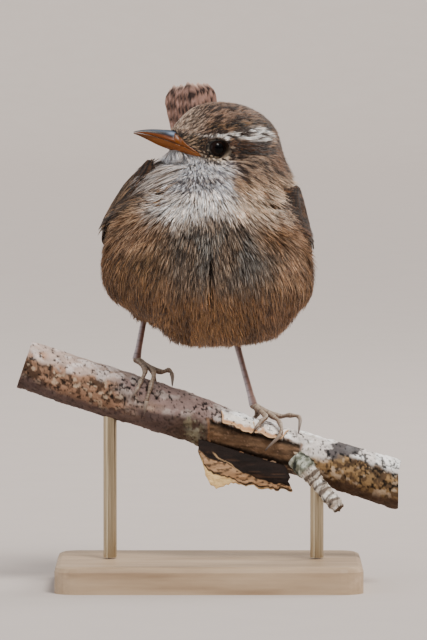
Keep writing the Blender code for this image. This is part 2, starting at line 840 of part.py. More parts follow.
def build_flap(parts, materials):
    """The strip of loose bark that hangs under the front of the perch."""
    rings = []
    for k in range(FLAP_STATIONS):
        share = k / (FLAP_STATIONS - 1)
        x = FLAP_START + (FLAP_END - FLAP_START) * share
        drop = FLAP_DROP * (1 - FLAP_NARROWER * share)
        start = perch_place(x, FLAP_TOP_ANGLE, FLAP_CLEAR)
        middle = perch_place(x, FLAP_FOLD_ANGLE, FLAP_CLEAR + 0.25 * drop)
        end = middle + FLAP_HANG * (drop * 0.55)
        front = Vector((0, -1, -0.35)).normalized() * FLAP_THICK
        rings.append([start, middle, end, end + front, middle + front, start + front])
    add_object("perch_bark_flap", ring_mesh(rings), parts, materials["bark_pale"])


def tube(name, points, radii, collection, resolution=1):
    """A tapered closed tube along points, made as a curve and turned into a mesh."""
    curve = bpy.data.curves.new(name, "CURVE")
    curve.dimensions = "3D"
    curve.bevel_depth = MM
    curve.bevel_resolution = resolution
    curve.use_fill_caps = True
    spline = curve.splines.new("POLY")
    spline.points.add(len(points) - 1)
    for slot, point, radius in zip(spline.points, points, radii):
        slot.co = (*(point * MM), 1.0)
        slot.radius = radius
    guide = bpy.data.objects.new(name + "_guide", curve)
    collection.objects.link(guide)
    graph = bpy.context.evaluated_depsgraph_get()
    mesh = bpy.data.meshes.new_from_object(guide.evaluated_get(graph))
    bm = bmesh.new()
    bm.from_mesh(mesh)
    bmesh.ops.remove_doubles(bm, verts=bm.verts, dist=1e-6)
    bmesh.ops.recalc_face_normals(bm, faces=bm.faces)
    bm.to_mesh(mesh)
    bm.free()
    item = bpy.data.objects.new(name, mesh)
    item.matrix_world = guide.matrix_world
    collection.objects.link(item)
    bpy.data.objects.remove(guide, do_unlink=True)
    return item


def toe_tube(joint, toe, collection):
    """One toe with its claw, from the joint over the perch."""
    lifts = [TOE_RADIUS + TOE_CLEAR + lift for _, _, lift in toe]
    marks = [joint]
    marks += [perch_place(joint.x + x, angle, lift) for (x, angle, _), lift in zip(toe, lifts)]
    count = (len(marks) - 1) * TOE_STEPS + 1
    points = [Vector(catmull(marks, k / TOE_STEPS)) for k in range(count)]
    claw_start = len(points) - TOE_STEPS - 1
    radii = []
    for k in range(len(points)):
        if k < claw_start:
            waist = KNUCKLE_HEIGHT * abs(math.sin(math.pi * k / TOE_STEPS))
            radii.append(TOE_RADIUS * TOE_JOINT_SHARE - waist)
        else:
            share = (k - claw_start) / TOE_STEPS
            radii.append(CLAW_RADIUS + (CLAW_TIP_RADIUS - CLAW_RADIUS) * share)
    return tube("toe", points, radii, collection)


def build_leg(side, parts, helpers, materials):
    """Feathered cone, bare shank and foot of one leg."""
    joint = TOE_JOINTS[side]
    axis = (joint - HEELS[side]).normalized()
    leave = torso_exit(HEELS[side], joint)
    top = leave + axis * (THIGH_DROP + GAP)
    shank_end = joint - axis * (SHANK_ANKLE + GAP)
    points = [top.lerp(shank_end, mark) for mark, _ in SHANK_SHAPE]
    shank = tube("shank_" + side, points, [SHANK_RADIUS * t for _, t in SHANK_SHAPE], parts)
    shank.data.materials.append(materials["leg"])
    foot = ball(joint, SHANK_ANKLE, parts, 10)
    foot.name = "foot_" + side
    boolean(foot, "UNION", [toe_tube(joint, toe, helpers) for toe in TOES[side]])
    boolean(foot, "DIFFERENCE", [add_object("perch_clear", perch_mesh(GAP), helpers)])
    keep_largest(foot)
    foot.data.materials.append(materials["leg"])
    low = leave + axis * THIGH_DROP
    high = leave - axis * THIGH_RISE
    radii = [THIGH_TOP_RADIUS, THIGH_TOP_RADIUS * 0.9, THIGH_LOW_RADIUS * 1.3, THIGH_LOW_RADIUS]
    places = [high.lerp(low, mark) for mark in (0.0, 0.5, 0.88, 1.0)]
    thigh = tube("thigh_" + side, places, radii, parts, 3)
    thigh.data.materials.append(materials["plumage"])
    boolean(thigh, "DIFFERENCE", [add_object("torso_clear", torso_mesh(GAP), helpers)])
    keep_largest(thigh)


def build_stand(parts, helpers, materials):
    """A flat base and two rods that carry the perch."""
    bm = bmesh.new()
    bmesh.ops.create_cube(bm, size=1.0)
    bmesh.ops.scale(bm, vec=(BASE_LENGTH, BASE_DEPTH, BASE_HEIGHT), verts=bm.verts)
    bmesh.ops.translate(bm, vec=(0, 0, BASE_HEIGHT / 2), verts=bm.verts)
    upright = [e for e in bm.edges if abs(e.verts[0].co.z - e.verts[1].co.z) > 1.0]
    bmesh.ops.bevel(bm, geom=upright, offset=BASE_CORNER, segments=5, affect="EDGES", profile=0.5)
    top = [e for e in bm.edges if min(v.co.z for v in e.verts) > BASE_HEIGHT - 0.01]
    bmesh.ops.bevel(bm, geom=top, offset=BASE_EDGE, segments=2, affect="EDGES", profile=0.5)
    add_object("stand_base", bm, parts, materials["stand"])
    for name, x in ROD_PLACES.items():
        bm = bmesh.new()
        high = perch_row(x)[1]
        low = BASE_HEIGHT + GAP
        bmesh.ops.create_cone(
            bm, cap_ends=True, segments=ROD_SIDES, radius1=ROD_RADIUS, radius2=ROD_RADIUS, depth=high - low
        )
        bmesh.ops.translate(bm, vec=(x, 0, (high + low) / 2), verts=bm.verts)
        rod = add_object("stand_rod_" + name, bm, parts, materials["rod"])
        boolean(rod, "DIFFERENCE", [add_object("perch_clear", perch_mesh(GAP), helpers)])
        keep_largest(rod)


def main():
    clear_scene()
    parts = make_collection(MODEL_NAME)
    helpers = make_collection(HELPER_NAME)
    materials = {
        "plumage": make_material("plumage", (0.24, 0.16, 0.10), 0.9),
        "flight": make_material("flight_feathers", (0.17, 0.10, 0.06), 0.8),
        "eye": make_material("eye", (0.012, 0.009, 0.008), 0.08),
        "bill_dark": make_material("bill_upper", (0.07, 0.06, 0.06), 0.35),
        "bill_pale": make_material("bill_lower", (0.38, 0.18, 0.06), 0.4),
        "leg": make_material("leg", (0.30, 0.21, 0.18), 0.5),
        "bark": make_material("bark", (0.42, 0.38, 0.37), 0.85),
        "bark_pale": make_material("loose_bark", (0.55, 0.42, 0.28), 0.85),
        "stand": make_material("stand_base", (0.50, 0.48, 0.45), 0.5),
        "rod": make_material("stand_rods", (0.55, 0.55, 0.55), 0.3, 1.0),
    }
    pieces = build_flesh(parts, helpers, materials)
    finish_head(pieces["head"], helpers)
    build_eyes(parts, materials)
    build_bill(parts, helpers, materials)
    for side in ("left", "right"):
        build_wing(side, parts, helpers, materials)
        build_leg(side, parts, helpers, materials)
    build_tail(parts, helpers, materials)
    build_perch(parts, helpers, materials)
    build_stand(parts, helpers, materials)


main()
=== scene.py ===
"""The looks of a wren on a birch perch: skin, feather coat, vanes, bill, eyes, legs, bark and stand.

Lengths are in millimetres until a mesh is made, when MM turns them into metres.
"""

import math

import bmesh
import bpy
import numpy as np
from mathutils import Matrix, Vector
from mathutils.bvhtree import BVHTree


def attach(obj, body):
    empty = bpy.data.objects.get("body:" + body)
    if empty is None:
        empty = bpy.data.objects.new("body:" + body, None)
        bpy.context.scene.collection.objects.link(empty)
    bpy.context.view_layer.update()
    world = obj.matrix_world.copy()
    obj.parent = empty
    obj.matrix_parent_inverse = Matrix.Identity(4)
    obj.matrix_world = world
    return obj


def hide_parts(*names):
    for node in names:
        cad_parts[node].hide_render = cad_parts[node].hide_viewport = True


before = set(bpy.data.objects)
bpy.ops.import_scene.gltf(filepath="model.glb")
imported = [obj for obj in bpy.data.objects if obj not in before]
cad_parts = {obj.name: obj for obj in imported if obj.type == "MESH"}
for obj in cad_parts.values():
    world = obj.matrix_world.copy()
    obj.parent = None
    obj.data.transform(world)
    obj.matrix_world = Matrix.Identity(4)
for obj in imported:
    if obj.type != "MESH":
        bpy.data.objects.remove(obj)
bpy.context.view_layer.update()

MM = 0.001
FLESH = ("torso", "neck", "head", "thigh_left", "thigh_right")
BODY = "root"

# The head's own frame: forward along the bill, side to the bird's left, and up.
HEAD_CENTRE = np.array((2.9, -3.0, 98.9))
HEAD_TURN = math.radians(65.0)
HEAD_PITCH = math.radians(10.0)
FLAT_FORWARD = np.array((-math.sin(HEAD_TURN), -math.cos(HEAD_TURN), 0.0))
SIDEWAYS = np.cross((0.0, 0.0, 1.0), FLAT_FORWARD)
FORWARD = FLAT_FORWARD * math.cos(HEAD_PITCH) + np.array((0.0, 0.0, math.sin(HEAD_PITCH)))
UPWARD = np.cross(FORWARD, SIDEWAYS)

EYE_PLACE = (3.95, 5.75, -2.0)
EYE_RADIUS = 2.15
LID_HALF = (1.86, 1.62)

TORSO_STATIONS = np.array(
    (
        (53.2, -3.0, 4.0, -3.0, 3.0),
        (54.3, -8.5, 12.5, -7.5, 6.0),
        (57.2, -11.5, 17.6, -12.0, 10.0),
        (61.5, -18.6, 20.8, -16.2, 14.5),
        (66.0, -23.2, 23.4, -19.2, 19.0),
        (72.5, -24.1, 22.8, -20.8, 23.2),
        (79.0, -22.2, 20.4, -20.3, 24.3),
        (85.0, -18.4, 18.4, -18.0, 22.2),
        (90.5, -13.8, 17.4, -14.8, 17.4),
        (94.5, -9.5, 17.2, -12.4, 13.6),
        (98.0, 1.0, 16.0, -7.0, 9.4),
        (101.0, 5.0, 14.2, -3.5, 5.5),
    )
)
TORSO_ROUNDNESS = 2.15

WINGS = {
    "right": {"front": 212.0, "back": 105.0, "front_height": 89.0, "back_height": 71.5},
    "left": {"front": -22.0, "back": 75.0, "front_height": 84.5, "back_height": 69.0},
}
WING_HALF_HEIGHTS = np.array(((0.0, 4.2), (0.15, 6.2), (0.45, 6.6), (0.75, 4.8), (1.0, 1.6)))

TAIL_ROOT = np.array((0.0, 24.6, 77.0))
TAIL_TIP = np.array((-4.4, 28.5, 112.0))
TAIL_BEND = 1.5

BILL_STATIONS = np.array(
    (
        (7.0, -4.5, -1.6, -6.0, 3.1),
        (10.0, -3.1, -0.4, -4.6, 2.4),
        (12.0, -2.35, 0.45, -3.9, 1.95),
        (15.0, -1.85, 0.25, -3.35, 1.35),
        (18.0, -1.5, -0.2, -2.55, 0.8),
        (20.4, -1.45, -0.85, -1.95, 0.38),
        (21.5, -1.55, -1.3, -1.8, 0.16),
    )
)

PERCH_STATIONS = np.array(
    (
        (-41.0, 49.4, 5.2),
        (-30.0, 45.7, 5.35),
        (-17.0, 41.5, 5.3),
        (-4.0, 37.4, 5.15),
        (7.0, 33.5, 4.6),
        (18.0, 30.1, 4.75),
        (30.0, 26.4, 5.1),
        (42.0, 22.4, 5.3),
    )
)
TWIG_ROOT = np.array((20.5, -3.6, 27.6))
TWIG_TIP = np.array((28.8, -8.2, 17.8))

HEELS = {"right": (-13.2, 5.6, 66.0), "left": (5.0, 4.6, 58.0)}
TOE_JOINTS = {"right": (-16.1, 0.9, 50.4), "left": (9.9, 0.7, 40.2)}
TOES = {
    "right": (
        ((-0.3, 22.0, 1.6), (-0.4, 46.0, 0.3), (-0.6, 62.0, 0.5), (-1.1, 84.0, -0.2)),
        ((1.4, 20.0, 1.8), (1.9, 50.0, 0.6), (2.0, 82.0, 0.3), (2.4, 108.0, -0.2)),
        ((2.6, 8.0, 1.6), (4.6, 4.0, 2.4), (5.6, 10.0, 1.7), (6.3, 24.0, -0.2)),
        ((1.2, -26.0, 1.8), (2.6, -48.0, 0.5), (3.2, -72.0, 0.5), (3.6, -96.0, -0.2)),
    ),
    "left": (
        ((0.9, 24.0, 0.9), (0.4, 40.0, 0.6), (0.0, 52.0, 0.4), (-0.5, 66.0, -0.2)),
        ((2.2, 16.0, 1.0), (4.2, 34.0, 1.0), (5.0, 62.0, 0.8), (2.9, 104.0, -0.2)),
        ((3.4, -2.0, 1.0), (5.9, 4.0, 1.9), (8.0, 12.0, 2.1), (8.7, 40.0, -0.1)),
        ((-0.8, -30.0, 1.0), (-1.4, -54.0, 0.4), (-1.6, -78.0, 0.4), (-1.8, -104.0, -0.2)),
    ),
}

random = np.random.default_rng(20241)
coat_share = 1.0


# ---- numbers, places and noise ----


def linear(*srgb):
    """A colour given as 0 to 255 sRGB, in linear light."""
    value = np.array(srgb, float) / 255.0
    return np.where(value <= 0.04045, value / 12.92, ((value + 0.055) / 1.055) ** 2.4)


def smooth(low, high, value):
    t = np.clip((value - low) / (high - low), 0.0, 1.0)
    return t * t * (3.0 - 2.0 * t)


def bump_at(centre, half, value):
    """1 at the centre and 0 beyond half away from it."""
    return smooth(1.0, 0.0, np.abs(value - centre) / half)


def unit(vectors):
    return vectors / np.maximum(np.linalg.norm(vectors, axis=-1, keepdims=True), 1e-9)


def to_head(points):
    offset = points - HEAD_CENTRE
    return np.stack((offset @ FORWARD, offset @ SIDEWAYS, offset @ UPWARD), -1)


def from_head(forward, side, up):
    forward, side, up = np.broadcast_arrays(forward, side, up)
    return (
        HEAD_CENTRE
        + forward[..., None] * FORWARD
        + side[..., None] * SIDEWAYS
        + up[..., None] * UPWARD
    )


def direction_in_head(forward, side, up):
    return np.array((forward * FORWARD + side * SIDEWAYS + up * UPWARD))


def lattice(ix, iy, iz, seed):
    mixed = (ix * 374761393 + iy * 668265263 + iz * 1440662683 + seed * 974711) & 0xFFFFFFFF
    mixed = ((mixed ^ (mixed >> 13)) * 1274126177) & 0xFFFFFFFF
    return ((mixed ^ (mixed >> 16)) & 0xFFFF) / 32767.5 - 1.0


def noise(points, size, seed=0):
    """Smooth noise from -1 to 1 whose blobs are about the given size."""
    place = np.asarray(points, float) / size
    cell = np.floor(place).astype(np.int64)
    t = place - cell
    t = t * t * (3.0 - 2.0 * t)
    total = 0.0
    for dx in (0, 1):
        for dy in (0, 1):
            for dz in (0, 1):
                weight = (
                    (t[..., 0] if dx else 1 - t[..., 0])
                    * (t[..., 1] if dy else 1 - t[..., 1])
                    * (t[..., 2] if dz else 1 - t[..., 2])
                )
                corner = lattice(cell[..., 0] + dx, cell[..., 1] + dy, cell[..., 2] + dz, seed)
                total = total + weight * corner
    return total


def rough_noise(points, size, seed=0, octaves=3):
    total, weight = 0.0, 1.0
    for k in range(octaves):
        total = total + noise(points, size / 2**k, seed + k) * weight
        weight *= 0.5
    return total


def catmull(values, place):
    """Smooth values at places between 0 and the last row."""
    values = np.asarray(values, float)
    last = len(values) - 1
    index = np.clip(np.floor(place).astype(int), 0, last - 1)
    t = (np.asarray(place) - index)[..., None]
    rows = [values[np.clip(index + k, 0, last)] for k in (-1, 0, 1, 2)]
    return (
        rows[0] * (-0.5 * t + t * t - 0.5 * t**3)
        + rows[1] * (1.0 - 2.5 * t * t + 1.5 * t**3)
        + rows[2] * (0.5 * t + 2.0 * t * t - 1.5 * t**3)
        + rows[3] * (-0.5 * t * t + 0.5 * t**3)
    )


def table_of(stations, count=600):
    return catmull(stations, np.linspace(0, len(stations) - 1, count))


TORSO_TABLE = table_of(TORSO_STATIONS)
BILL_TABLE = table_of(BILL_STATIONS)
PERCH_TABLE = table_of(PERCH_STATIONS)


def look_up(table, value):
    """The columns of a table at values of its first column."""
    return [np.interp(value, table[:, 0], table[:, k]) for k in range(1, table.shape[1])]


def eased(pairs, place):
    """Values between (place, value) pairs, eased as the wing's outline is."""
    index = np.clip(np.searchsorted(pairs[:, 0], place) - 1, 0, len(pairs) - 2)
    span = pairs[index + 1, 0] - pairs[index, 0]
    t = np.clip((place - pairs[index, 0]) / span, 0.0, 1.0)
    return pairs[index, 1] + (pairs[index + 1, 1] - pairs[index, 1]) * t * t * (3 - 2 * t)


# ---- meshes and materials ----


def make_piece(name, points, faces, material, tint=None, corners=None, flat=False):
    """A mesh piece that rides on the body. corners holds the uv of each face corner."""
    points = np.asarray(points, np.float32).reshape(-1, 3) * MM
    faces = np.asarray(faces, np.int32)
    mesh = bpy.data.meshes.new(name)
    mesh.vertices.add(len(points))
    mesh.vertices.foreach_set("co", points.ravel())
    mesh.loops.add(faces.size)
    mesh.loops.foreach_set("vertex_index", faces.ravel())
    mesh.polygons.add(len(faces))
    starts = np.arange(0, faces.size, faces.shape[1], dtype=np.int32)
    mesh.polygons.foreach_set("loop_start", starts)
    mesh.update(calc_edges=True)
    if not flat:
        mesh.shade_smooth()
    if tint is not None:
        layer = mesh.color_attributes.new("Tint", "FLOAT_COLOR", "POINT")
        full = np.ones((len(points), 4), np.float32)
        full[:, :3] = np.asarray(tint).reshape(-1, 3)
        layer.data.foreach_set("color", full.ravel())
    if corners is not None:
        layer = mesh.uv_layers.new(name="OFBake")
        layer.data.foreach_set("uv", np.asarray(corners, np.float32).ravel())
    mesh.materials.append(material)
    item = bpy.data.objects.new(name, mesh)
    bpy.context.scene.collection.objects.link(item)
    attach(item, BODY)
    return item


def grid_faces(rows, columns, wrap=True, offset=0):
    """Quads over a grid of points, closed round its columns if wrap is set."""
    r = np.arange(rows - 1)[:, None]
    c = np.arange(columns if wrap else columns - 1)[None, :]
    d = (c + 1) % columns
    quads = np.stack(
        (r * columns + c, r * columns + d, (r + 1) * columns + d, (r + 1) * columns + c), -1
    )
    return quads.reshape(-1, 4) + offset


def grid_corners(rows, columns, wrap=True):
    """The uv of each corner of grid_faces, over the whole unit square."""
    r = np.arange(rows - 1)[:, None] / (rows - 1)
    across = columns if wrap else columns - 1
    c = np.arange(across)[None, :] / across
    dr, dc = 1 / (rows - 1), 1 / across
    r, c = np.broadcast_arrays(r, c)
    corners = np.stack(
        (
            np.stack((c, r), -1),
            np.stack((c + dc, r), -1),
            np.stack((c + dc, r + dr), -1),
            np.stack((c, r + dr), -1),
        ),
        -2,
    )
    return corners.reshape(-1, 4, 2) * 0.98 + 0.01


class Shader:
    """A short way to build a Principled material from nodes."""

    def __init__(self, name, roughness=0.5, **values):
        self.material = bpy.data.materials.new(name)
        self.material.use_nodes = True
        self.tree = self.material.node_tree
        self.main = self.tree.nodes["Principled BSDF"]
        self.main.inputs["Roughness"].default_value = roughness
        for key, value in values.items():
            self.main.inputs[key.replace("_", " ")].default_value = value

    def node(self, kind, links=(), **values):
        made = self.tree.nodes.new("ShaderNode" + kind)
        for key, value in values.items():
            if hasattr(made, key):
                setattr(made, key, value)
            else:
                made.inputs[key.replace("_", " ")].default_value = value
        for source, key in links:
            self.tree.links.new(source, made.inputs[key])
        return made

    def tint(self):
        return self.node("Attribute", attribute_name="Tint").outputs["Color"]

    def noise(self, scale, detail=3.0, stretch=None):
        place = self.node("TexCoord").outputs["Object"]
        if stretch:
            mapped = self.node("Mapping", [(place, "Vector")])
            mapped.inputs["Scale"].default_value = stretch
            place = mapped.outputs["Vector"]
        return self.node("TexNoise", [(place, "Vector")], Scale=scale, Detail=detail)

    def ramp(self, source, stops):
        made = self.node("ValToRGB", [(source, "Fac")])
        ramp = made.color_ramp
        while len(ramp.elements) < len(stops):
            ramp.elements.new(0.5)
        for element, (place, colour) in zip(ramp.elements, stops):
            element.position = place
            element.color = (*colour, 1.0)
        return made.outputs["Color"]

    def vary(self, colour, source, low, high):
        """The colour made darker and lighter by a source between 0 and 1."""
        span = self.node("MapRange", [(source, "Value")])
        span.inputs["To Min"].default_value = low
        span.inputs["To Max"].default_value = high
        made = self.node("VectorMath", [(colour, 0)], operation="SCALE")
        self.tree.links.new(span.outputs["Result"], made.inputs["Scale"])
        return made.outputs["Vector"]

    def roughen(self, source, low, high):
        span = self.node("MapRange", [(source, "Value")])
        span.inputs["To Min"].default_value = low
        span.inputs["To Max"].default_value = high
        self.tree.links.new(span.outputs["Result"], self.main.inputs["Roughness"])

    def bump(self, source, strength, distance):
        made = self.node("Bump", [(source, "Height")], Strength=strength, Distance=distance)
        self.tree.links.new(made.outputs["Normal"], self.main.inputs["Normal"])

    def paint(self, colour):
        self.tree.links.new(colour, self.main.inputs["Base Color"])
        return self.material


def feather_material(name):
    s = Shader(name, 0.62, Specular_IOR_Level=0.3, Sheen_Weight=0.12, Sheen_Roughness=0.45)
    fine = s.noise(5200.0, 2.0)
    s.roughen(fine.outputs["Fac"], 0.5, 0.75)
    return s.paint(s.vary(s.tint(), fine.outputs["Fac"], 0.82, 1.18))


def skin_material():
    s = Shader("skin", 0.75, Specular_IOR_Level=0.25)
    fine = s.noise(2600.0, 4.0)
    s.bump(fine.outputs["Fac"], 0.6, 0.0002)
    return s.paint(s.vary(s.tint(), fine.outputs["Fac"], 0.75, 1.2))


def vane_material():
    s = Shader("vane", 0.62, Specular_IOR_Level=0.16, Sheen_Weight=0.03, Sheen_Roughness=0.4)
    lines = s.node("UVMap", uv_map="Barbs").outputs["UV"]
    waves = s.node(
        "TexWave", [(lines, "Vector")], wave_type="BANDS", bands_direction="X", Scale=5.0
    )
    waves.inputs["Distortion"].default_value = 1.2
    s.bump(waves.outputs["Fac"], 0.35, 0.00006)
    fine = s.noise(3800.0, 2.0)
    colour = s.vary(s.tint(), waves.outputs["Fac"], 0.86, 1.12)
    return s.paint(s.vary(colour, fine.outputs["Fac"], 0.85, 1.15))


def horn_material(name, roughness, specular=0.5):
    s = Shader(name, roughness, Specular_IOR_Level=specular)
    fine = s.noise(1400.0, 4.0, (1.0, 1.0, 2.5))
    s.bump(fine.outputs["Fac"], 0.25, 0.00008)
    s.roughen(fine.outputs["Fac"], roughness * 0.75, roughness * 1.35)
    return s.paint(s.vary(s.tint(), fine.outputs["Fac"], 0.8, 1.2))


def leg_material():
    s = Shader("leg", 0.4, Specular_IOR_Level=0.5)
    fine = s.noise(2300.0, 3.0)
    s.bump(fine.outputs["Fac"], 0.3, 0.00008)
    s.roughen(fine.outputs["Fac"], 0.28, 0.55)
    return s.paint(s.vary(s.tint(), fine.outputs["Fac"], 0.78, 1.2))


def eye_material():
    s = Shader("eye", 0.05, Specular_IOR_Level=0.09)
    fine = s.noise(3000.0, 3.0)
    return s.paint(s.vary(s.tint(), fine.outputs["Fac"], 0.7, 1.3))


def bark_material():
    s = Shader("bark", 0.85, Specular_IOR_Level=0.2)
    grain = s.noise(900.0, 6.0, (0.6, 1.0, 1.0))
    speck = s.noise(2900.0, 4.0)
    s.bump(grain.outputs["Fac"], 0.7, 0.0005)
    s.roughen(speck.outputs["Fac"], 0.7, 0.95)
    colour = s.vary(s.tint(), grain.outputs["Fac"], 0.72, 1.25)
    return s.paint(s.vary(colour, speck.outputs["Fac"], 0.75, 1.25))


def base_material():
    """Oiled pale wood with long grain."""
    s = Shader("stand_wood", 0.45, Specular_IOR_Level=0.4)
    grain = s.noise(260.0, 5.0, (0.12, 1.0, 1.0))
    pores = s.noise(1500.0, 3.0, (0.06, 1.0, 1.0))
    colour = s.ramp(
        grain.outputs["Fac"],
        ((0.3, (0.30, 0.20, 0.12)), (0.5, (0.42, 0.30, 0.19)), (0.72, (0.50, 0.37, 0.25))),
    )
    s.bump(pores.outputs["Fac"], 0.15, 0.0002)
    s.roughen(pores.outputs["Fac"], 0.38, 0.6)
    return s.paint(s.vary(colour, pores.outputs["Fac"], 0.85, 1.1))


def rod_material():
    """Drawn brass, brushed along its length."""
    s = Shader("stand_metal", 0.3, Metallic=1.0)
    brush = s.noise(3000.0, 2.0, (1.0, 1.0, 0.03))
    colour = s.ramp(
        brush.outputs["Fac"], ((0.3, (0.36, 0.29, 0.19)), (0.7, (0.55, 0.46, 0.31)))
    )
    s.bump(brush.outputs["Fac"], 0.15, 0.00005)
    s.roughen(brush.outputs["Fac"], 0.22, 0.42)
    return s.paint(colour)


# ---- markings, shared by skin and coat ----

THROAT_SPOT = np.array((-3.5, -8.0, 101.0))
BILL_SPOT = from_head(np.array(13.0), np.array(0.0), np.array(-3.0))


def head_weight(points):
    """1 on the head and 0 on the body."""
    return smooth(86.0, 94.5, points[:, 2] - 0.12 * (points[:, 0] - 3.0))


def behind_eye(forward, rows):
    """Straight-line values of a marking's line along the head."""
    table = np.array(rows)
    return np.interp(forward, table[:, 0], table[:, 1])


BROW_LINE = (
    (-10.0, 1.9),
    (-8.0, 2.3),
    (-5.8, 2.45),
    (-3.2, 2.2),
    (-1.5, 2.0),
    (0.0, 1.6),
    (1.9, 1.1),
    (3.6, 0.7),
    (5.0, 0.55),
    (6.2, 0.35),
    (8.0, 0.2),
)
BROW_HALF = (
    (-10.5, 0.1),
    (-9.2, 0.7),
    (-6.5, 1.5),
    (-3.2, 1.5),
    (-1.0, 1.15),
    (0.8, 0.8),
    (3.6, 0.36),
    (6.2, 0.34),
    (8.5, 0.25),
)
STRIPE_LINE = (
    (-10.0, -0.7),
    (-9.0, -0.7),
    (-4.7, -0.65),
    (-1.0, -1.1),
    (1.9, -1.4),
    (4.0, -1.6),
    (6.5, -1.2),
    (8.5, -0.6),
)
STRIPE_HALF = ((-11, 0.3), (-8, 1.2), (-4, 1.8), (0, 1.8), (2, 1.7), (5, 1.4), (7, 1.1), (9, 0.7))
# The gape runs back from the bill along the face: forward, top, mouth line and bottom.
GAPE_LINE = (
    (6.3, -4.2, -4.24, -4.28),
    (6.7, -4.0, -4.14, -4.34),
    (7.9, -3.3, -3.72, -4.36),
    (9.3, -2.55, -3.1, -4.2),
    (10.4, -1.75, -2.72, -3.95),
    (11.4, -0.75, -2.5, -3.75),
    (12.4, 0.1, -2.28, -3.75),
)


def markings(points):
    """Light colour, dark colour and share of dark strands at each place on the bird."""
    head = to_head(points)
    f, a, u = head[:, 0], np.abs(head[:, 1]), head[:, 2]
    x, y, z = points.T
    turn = np.degrees(np.arctan2(x - 0.5, -(y + 0.5)))
    off = np.abs(turn)
    count = len(points)
    light = np.tile(linear(152, 112, 78), (count, 1))
    dark = np.tile(linear(70, 48, 34), (count, 1))
    share = np.full(count, 0.4)

    def lay(mask, light_colour, dark_colour, dark_share):
        nonlocal light, dark, share
        m = np.clip(mask, 0, 1)[:, None]
        light = light * (1 - m) + linear(*light_colour) * m
        dark = dark * (1 - m) + linear(*dark_colour) * m
        share = share * (1 - m[:, 0]) + dark_share * m[:, 0]

    wander = noise(points, 4.0, 5) * 1.6
    w = head_weight(points)
    front = smooth(95.0, 60.0, off)
    # Back, rump and the rear underside.
    lay(smooth(80, 115, off) * (1 - w), (136, 97, 67), (60, 41, 29), 0.44)
    lay(smooth(10, 18, y) * smooth(76, 68, z), (150, 118, 88), (56, 40, 30), 0.42)
    # Flanks and belly, from the sides to the middle.
    lay(front * (1 - w), (158, 121, 85), (74, 52, 36), 0.4)
    right_side = smooth(8.0, 18.0, x) * bump_at(74.0, 14.0, z)
    lay(right_side * front, (204, 165, 129), (104, 76, 56), 0.36)
    grey = bump_at(75.0, 12.5, z + wander) * smooth(15.5, 7.0, np.abs(x - 2.5) + wander)
    lay(grey * front * 1.15, (141, 134, 125), (57, 51, 46), 0.45)
    mixed = smooth(0.05, 0.5, noise(points * (1.0, 1.0, 0.45), 2.6, 61))
    lay(grey * mixed * front * 0.6, (146, 116, 86), (62, 45, 33), 0.45)
    olive = bump_at(73.5, 6.5, z) * bump_at(-13.0, 7.5, x + wander)
    lay(olive * front * 0.75, (128, 100, 70), (60, 44, 31), 0.5)
    low = smooth(67.5, 61.0, z + 0.6 * wander)
    lay(low * front, (164, 124, 84), (84, 58, 37), 0.36)
    lay(low * smooth(8.0, 14.0, x) * front, (184, 142, 108), (108, 78, 56), 0.32)
    lay(low * smooth(-4.0, -12.0, x) * front * 0.8, (156, 118, 82), (78, 55, 36), 0.4)
    lay(smooth(58.0, 54.5, z + 0.5 * wander), (160, 120, 82), (84, 58, 36), 0.36)
    streams = noise(np.stack((x, 0 * y, z * 0.16), -1), 1.9, 58)
    lay(smooth(0.15, 0.55, streams) * smooth(70.0, 64.0, z) * front * 0.5, (120, 86, 54), (58, 38, 22), 0.55)
    parting = smooth(0.75, 0.2, np.abs(x - 0.35 + 0.35 * noise(points, 2.4, 59)))
    lay(parting * bump_at(71.8, 5.4, z) * smooth(-6.0, -12.0, y), (76, 61, 50), (30, 23, 18), 0.74)
    # Rufous patches at both sides of the breast.
    rufous = bump_at(78.6, 6.0, z + 0.7 * wander)
    lay(rufous * bump_at(-15.5, 8.0, x) * front, (220, 182, 146), (110, 78, 56), 0.42)
    lay(rufous * bump_at(13.5, 6.0, x) * front, (192, 147, 104), (98, 68, 44), 0.44)
    lay(bump_at(80.0, 5.5, z) * bump_at(-19.0, 4.5, x) * front, (218, 180, 144), (96, 66, 46), 0.4)
    lay(bump_at(82.0, 6.5, z) * bump_at(19.0, 4.5, x) * front, (226, 184, 150), (116, 82, 60), 0.36)
    # Pale breast band below a cool grey throat.
    arc = z + 0.004 * (x - 2.0) ** 2 + 0.5 * wander
    lay(bump_at(86.5, 8.0, arc) * front, (206, 170, 134), (92, 68, 50), 0.4)
    ragged_arc = arc + 1.1 * noise(points * (1.0, 1.0, 0.35), 1.5, 60)
    band = bump_at(84.4, 5.0, ragged_arc) * smooth(16.5, 9.5, np.abs(x - 1.5))
    lay(band * front * 1.25, (250, 245, 240), (116, 102, 92), 0.26)
    lay(band * front * smooth(3.0, 9.0, x) * 0.8, (244, 212, 174), (124, 94, 70), 0.34)
    throat = smooth(85.0, 89.5, z) * smooth(10.5, 6.5, np.abs(x + 3.8) + wander)
    lay(throat * smooth(10, -2, y) * 1.2, (250, 250, 254), (120, 118, 124), 0.22)
    aside = smooth(89.5, 92.5, z - 0.5 * (x + 10.0) + wander) * smooth(-13.6, -10.8, x) * smooth(-2.0, -6.0, x)
    lay(aside * smooth(13.0, 9.0, y + wander) * 1.1, (226, 220, 216), (96, 86, 80), 0.38)
    side_neck = smooth(84.0, 89.0, z) * smooth(5.0, 9.5, x) * smooth(9.0, 1.5, y + 1.5 * wander)
    lay(side_neck * (1 - w * 0.5), (228, 198, 168), (98, 76, 60), 0.38)
    left_neck = smooth(86.0, 90.0, z) * smooth(-11.5, -14.0, x) * smooth(9.0, 1.5, y + 1.5 * wander)
    lay(left_neck, (186, 158, 128), (66, 50, 38), 0.5)
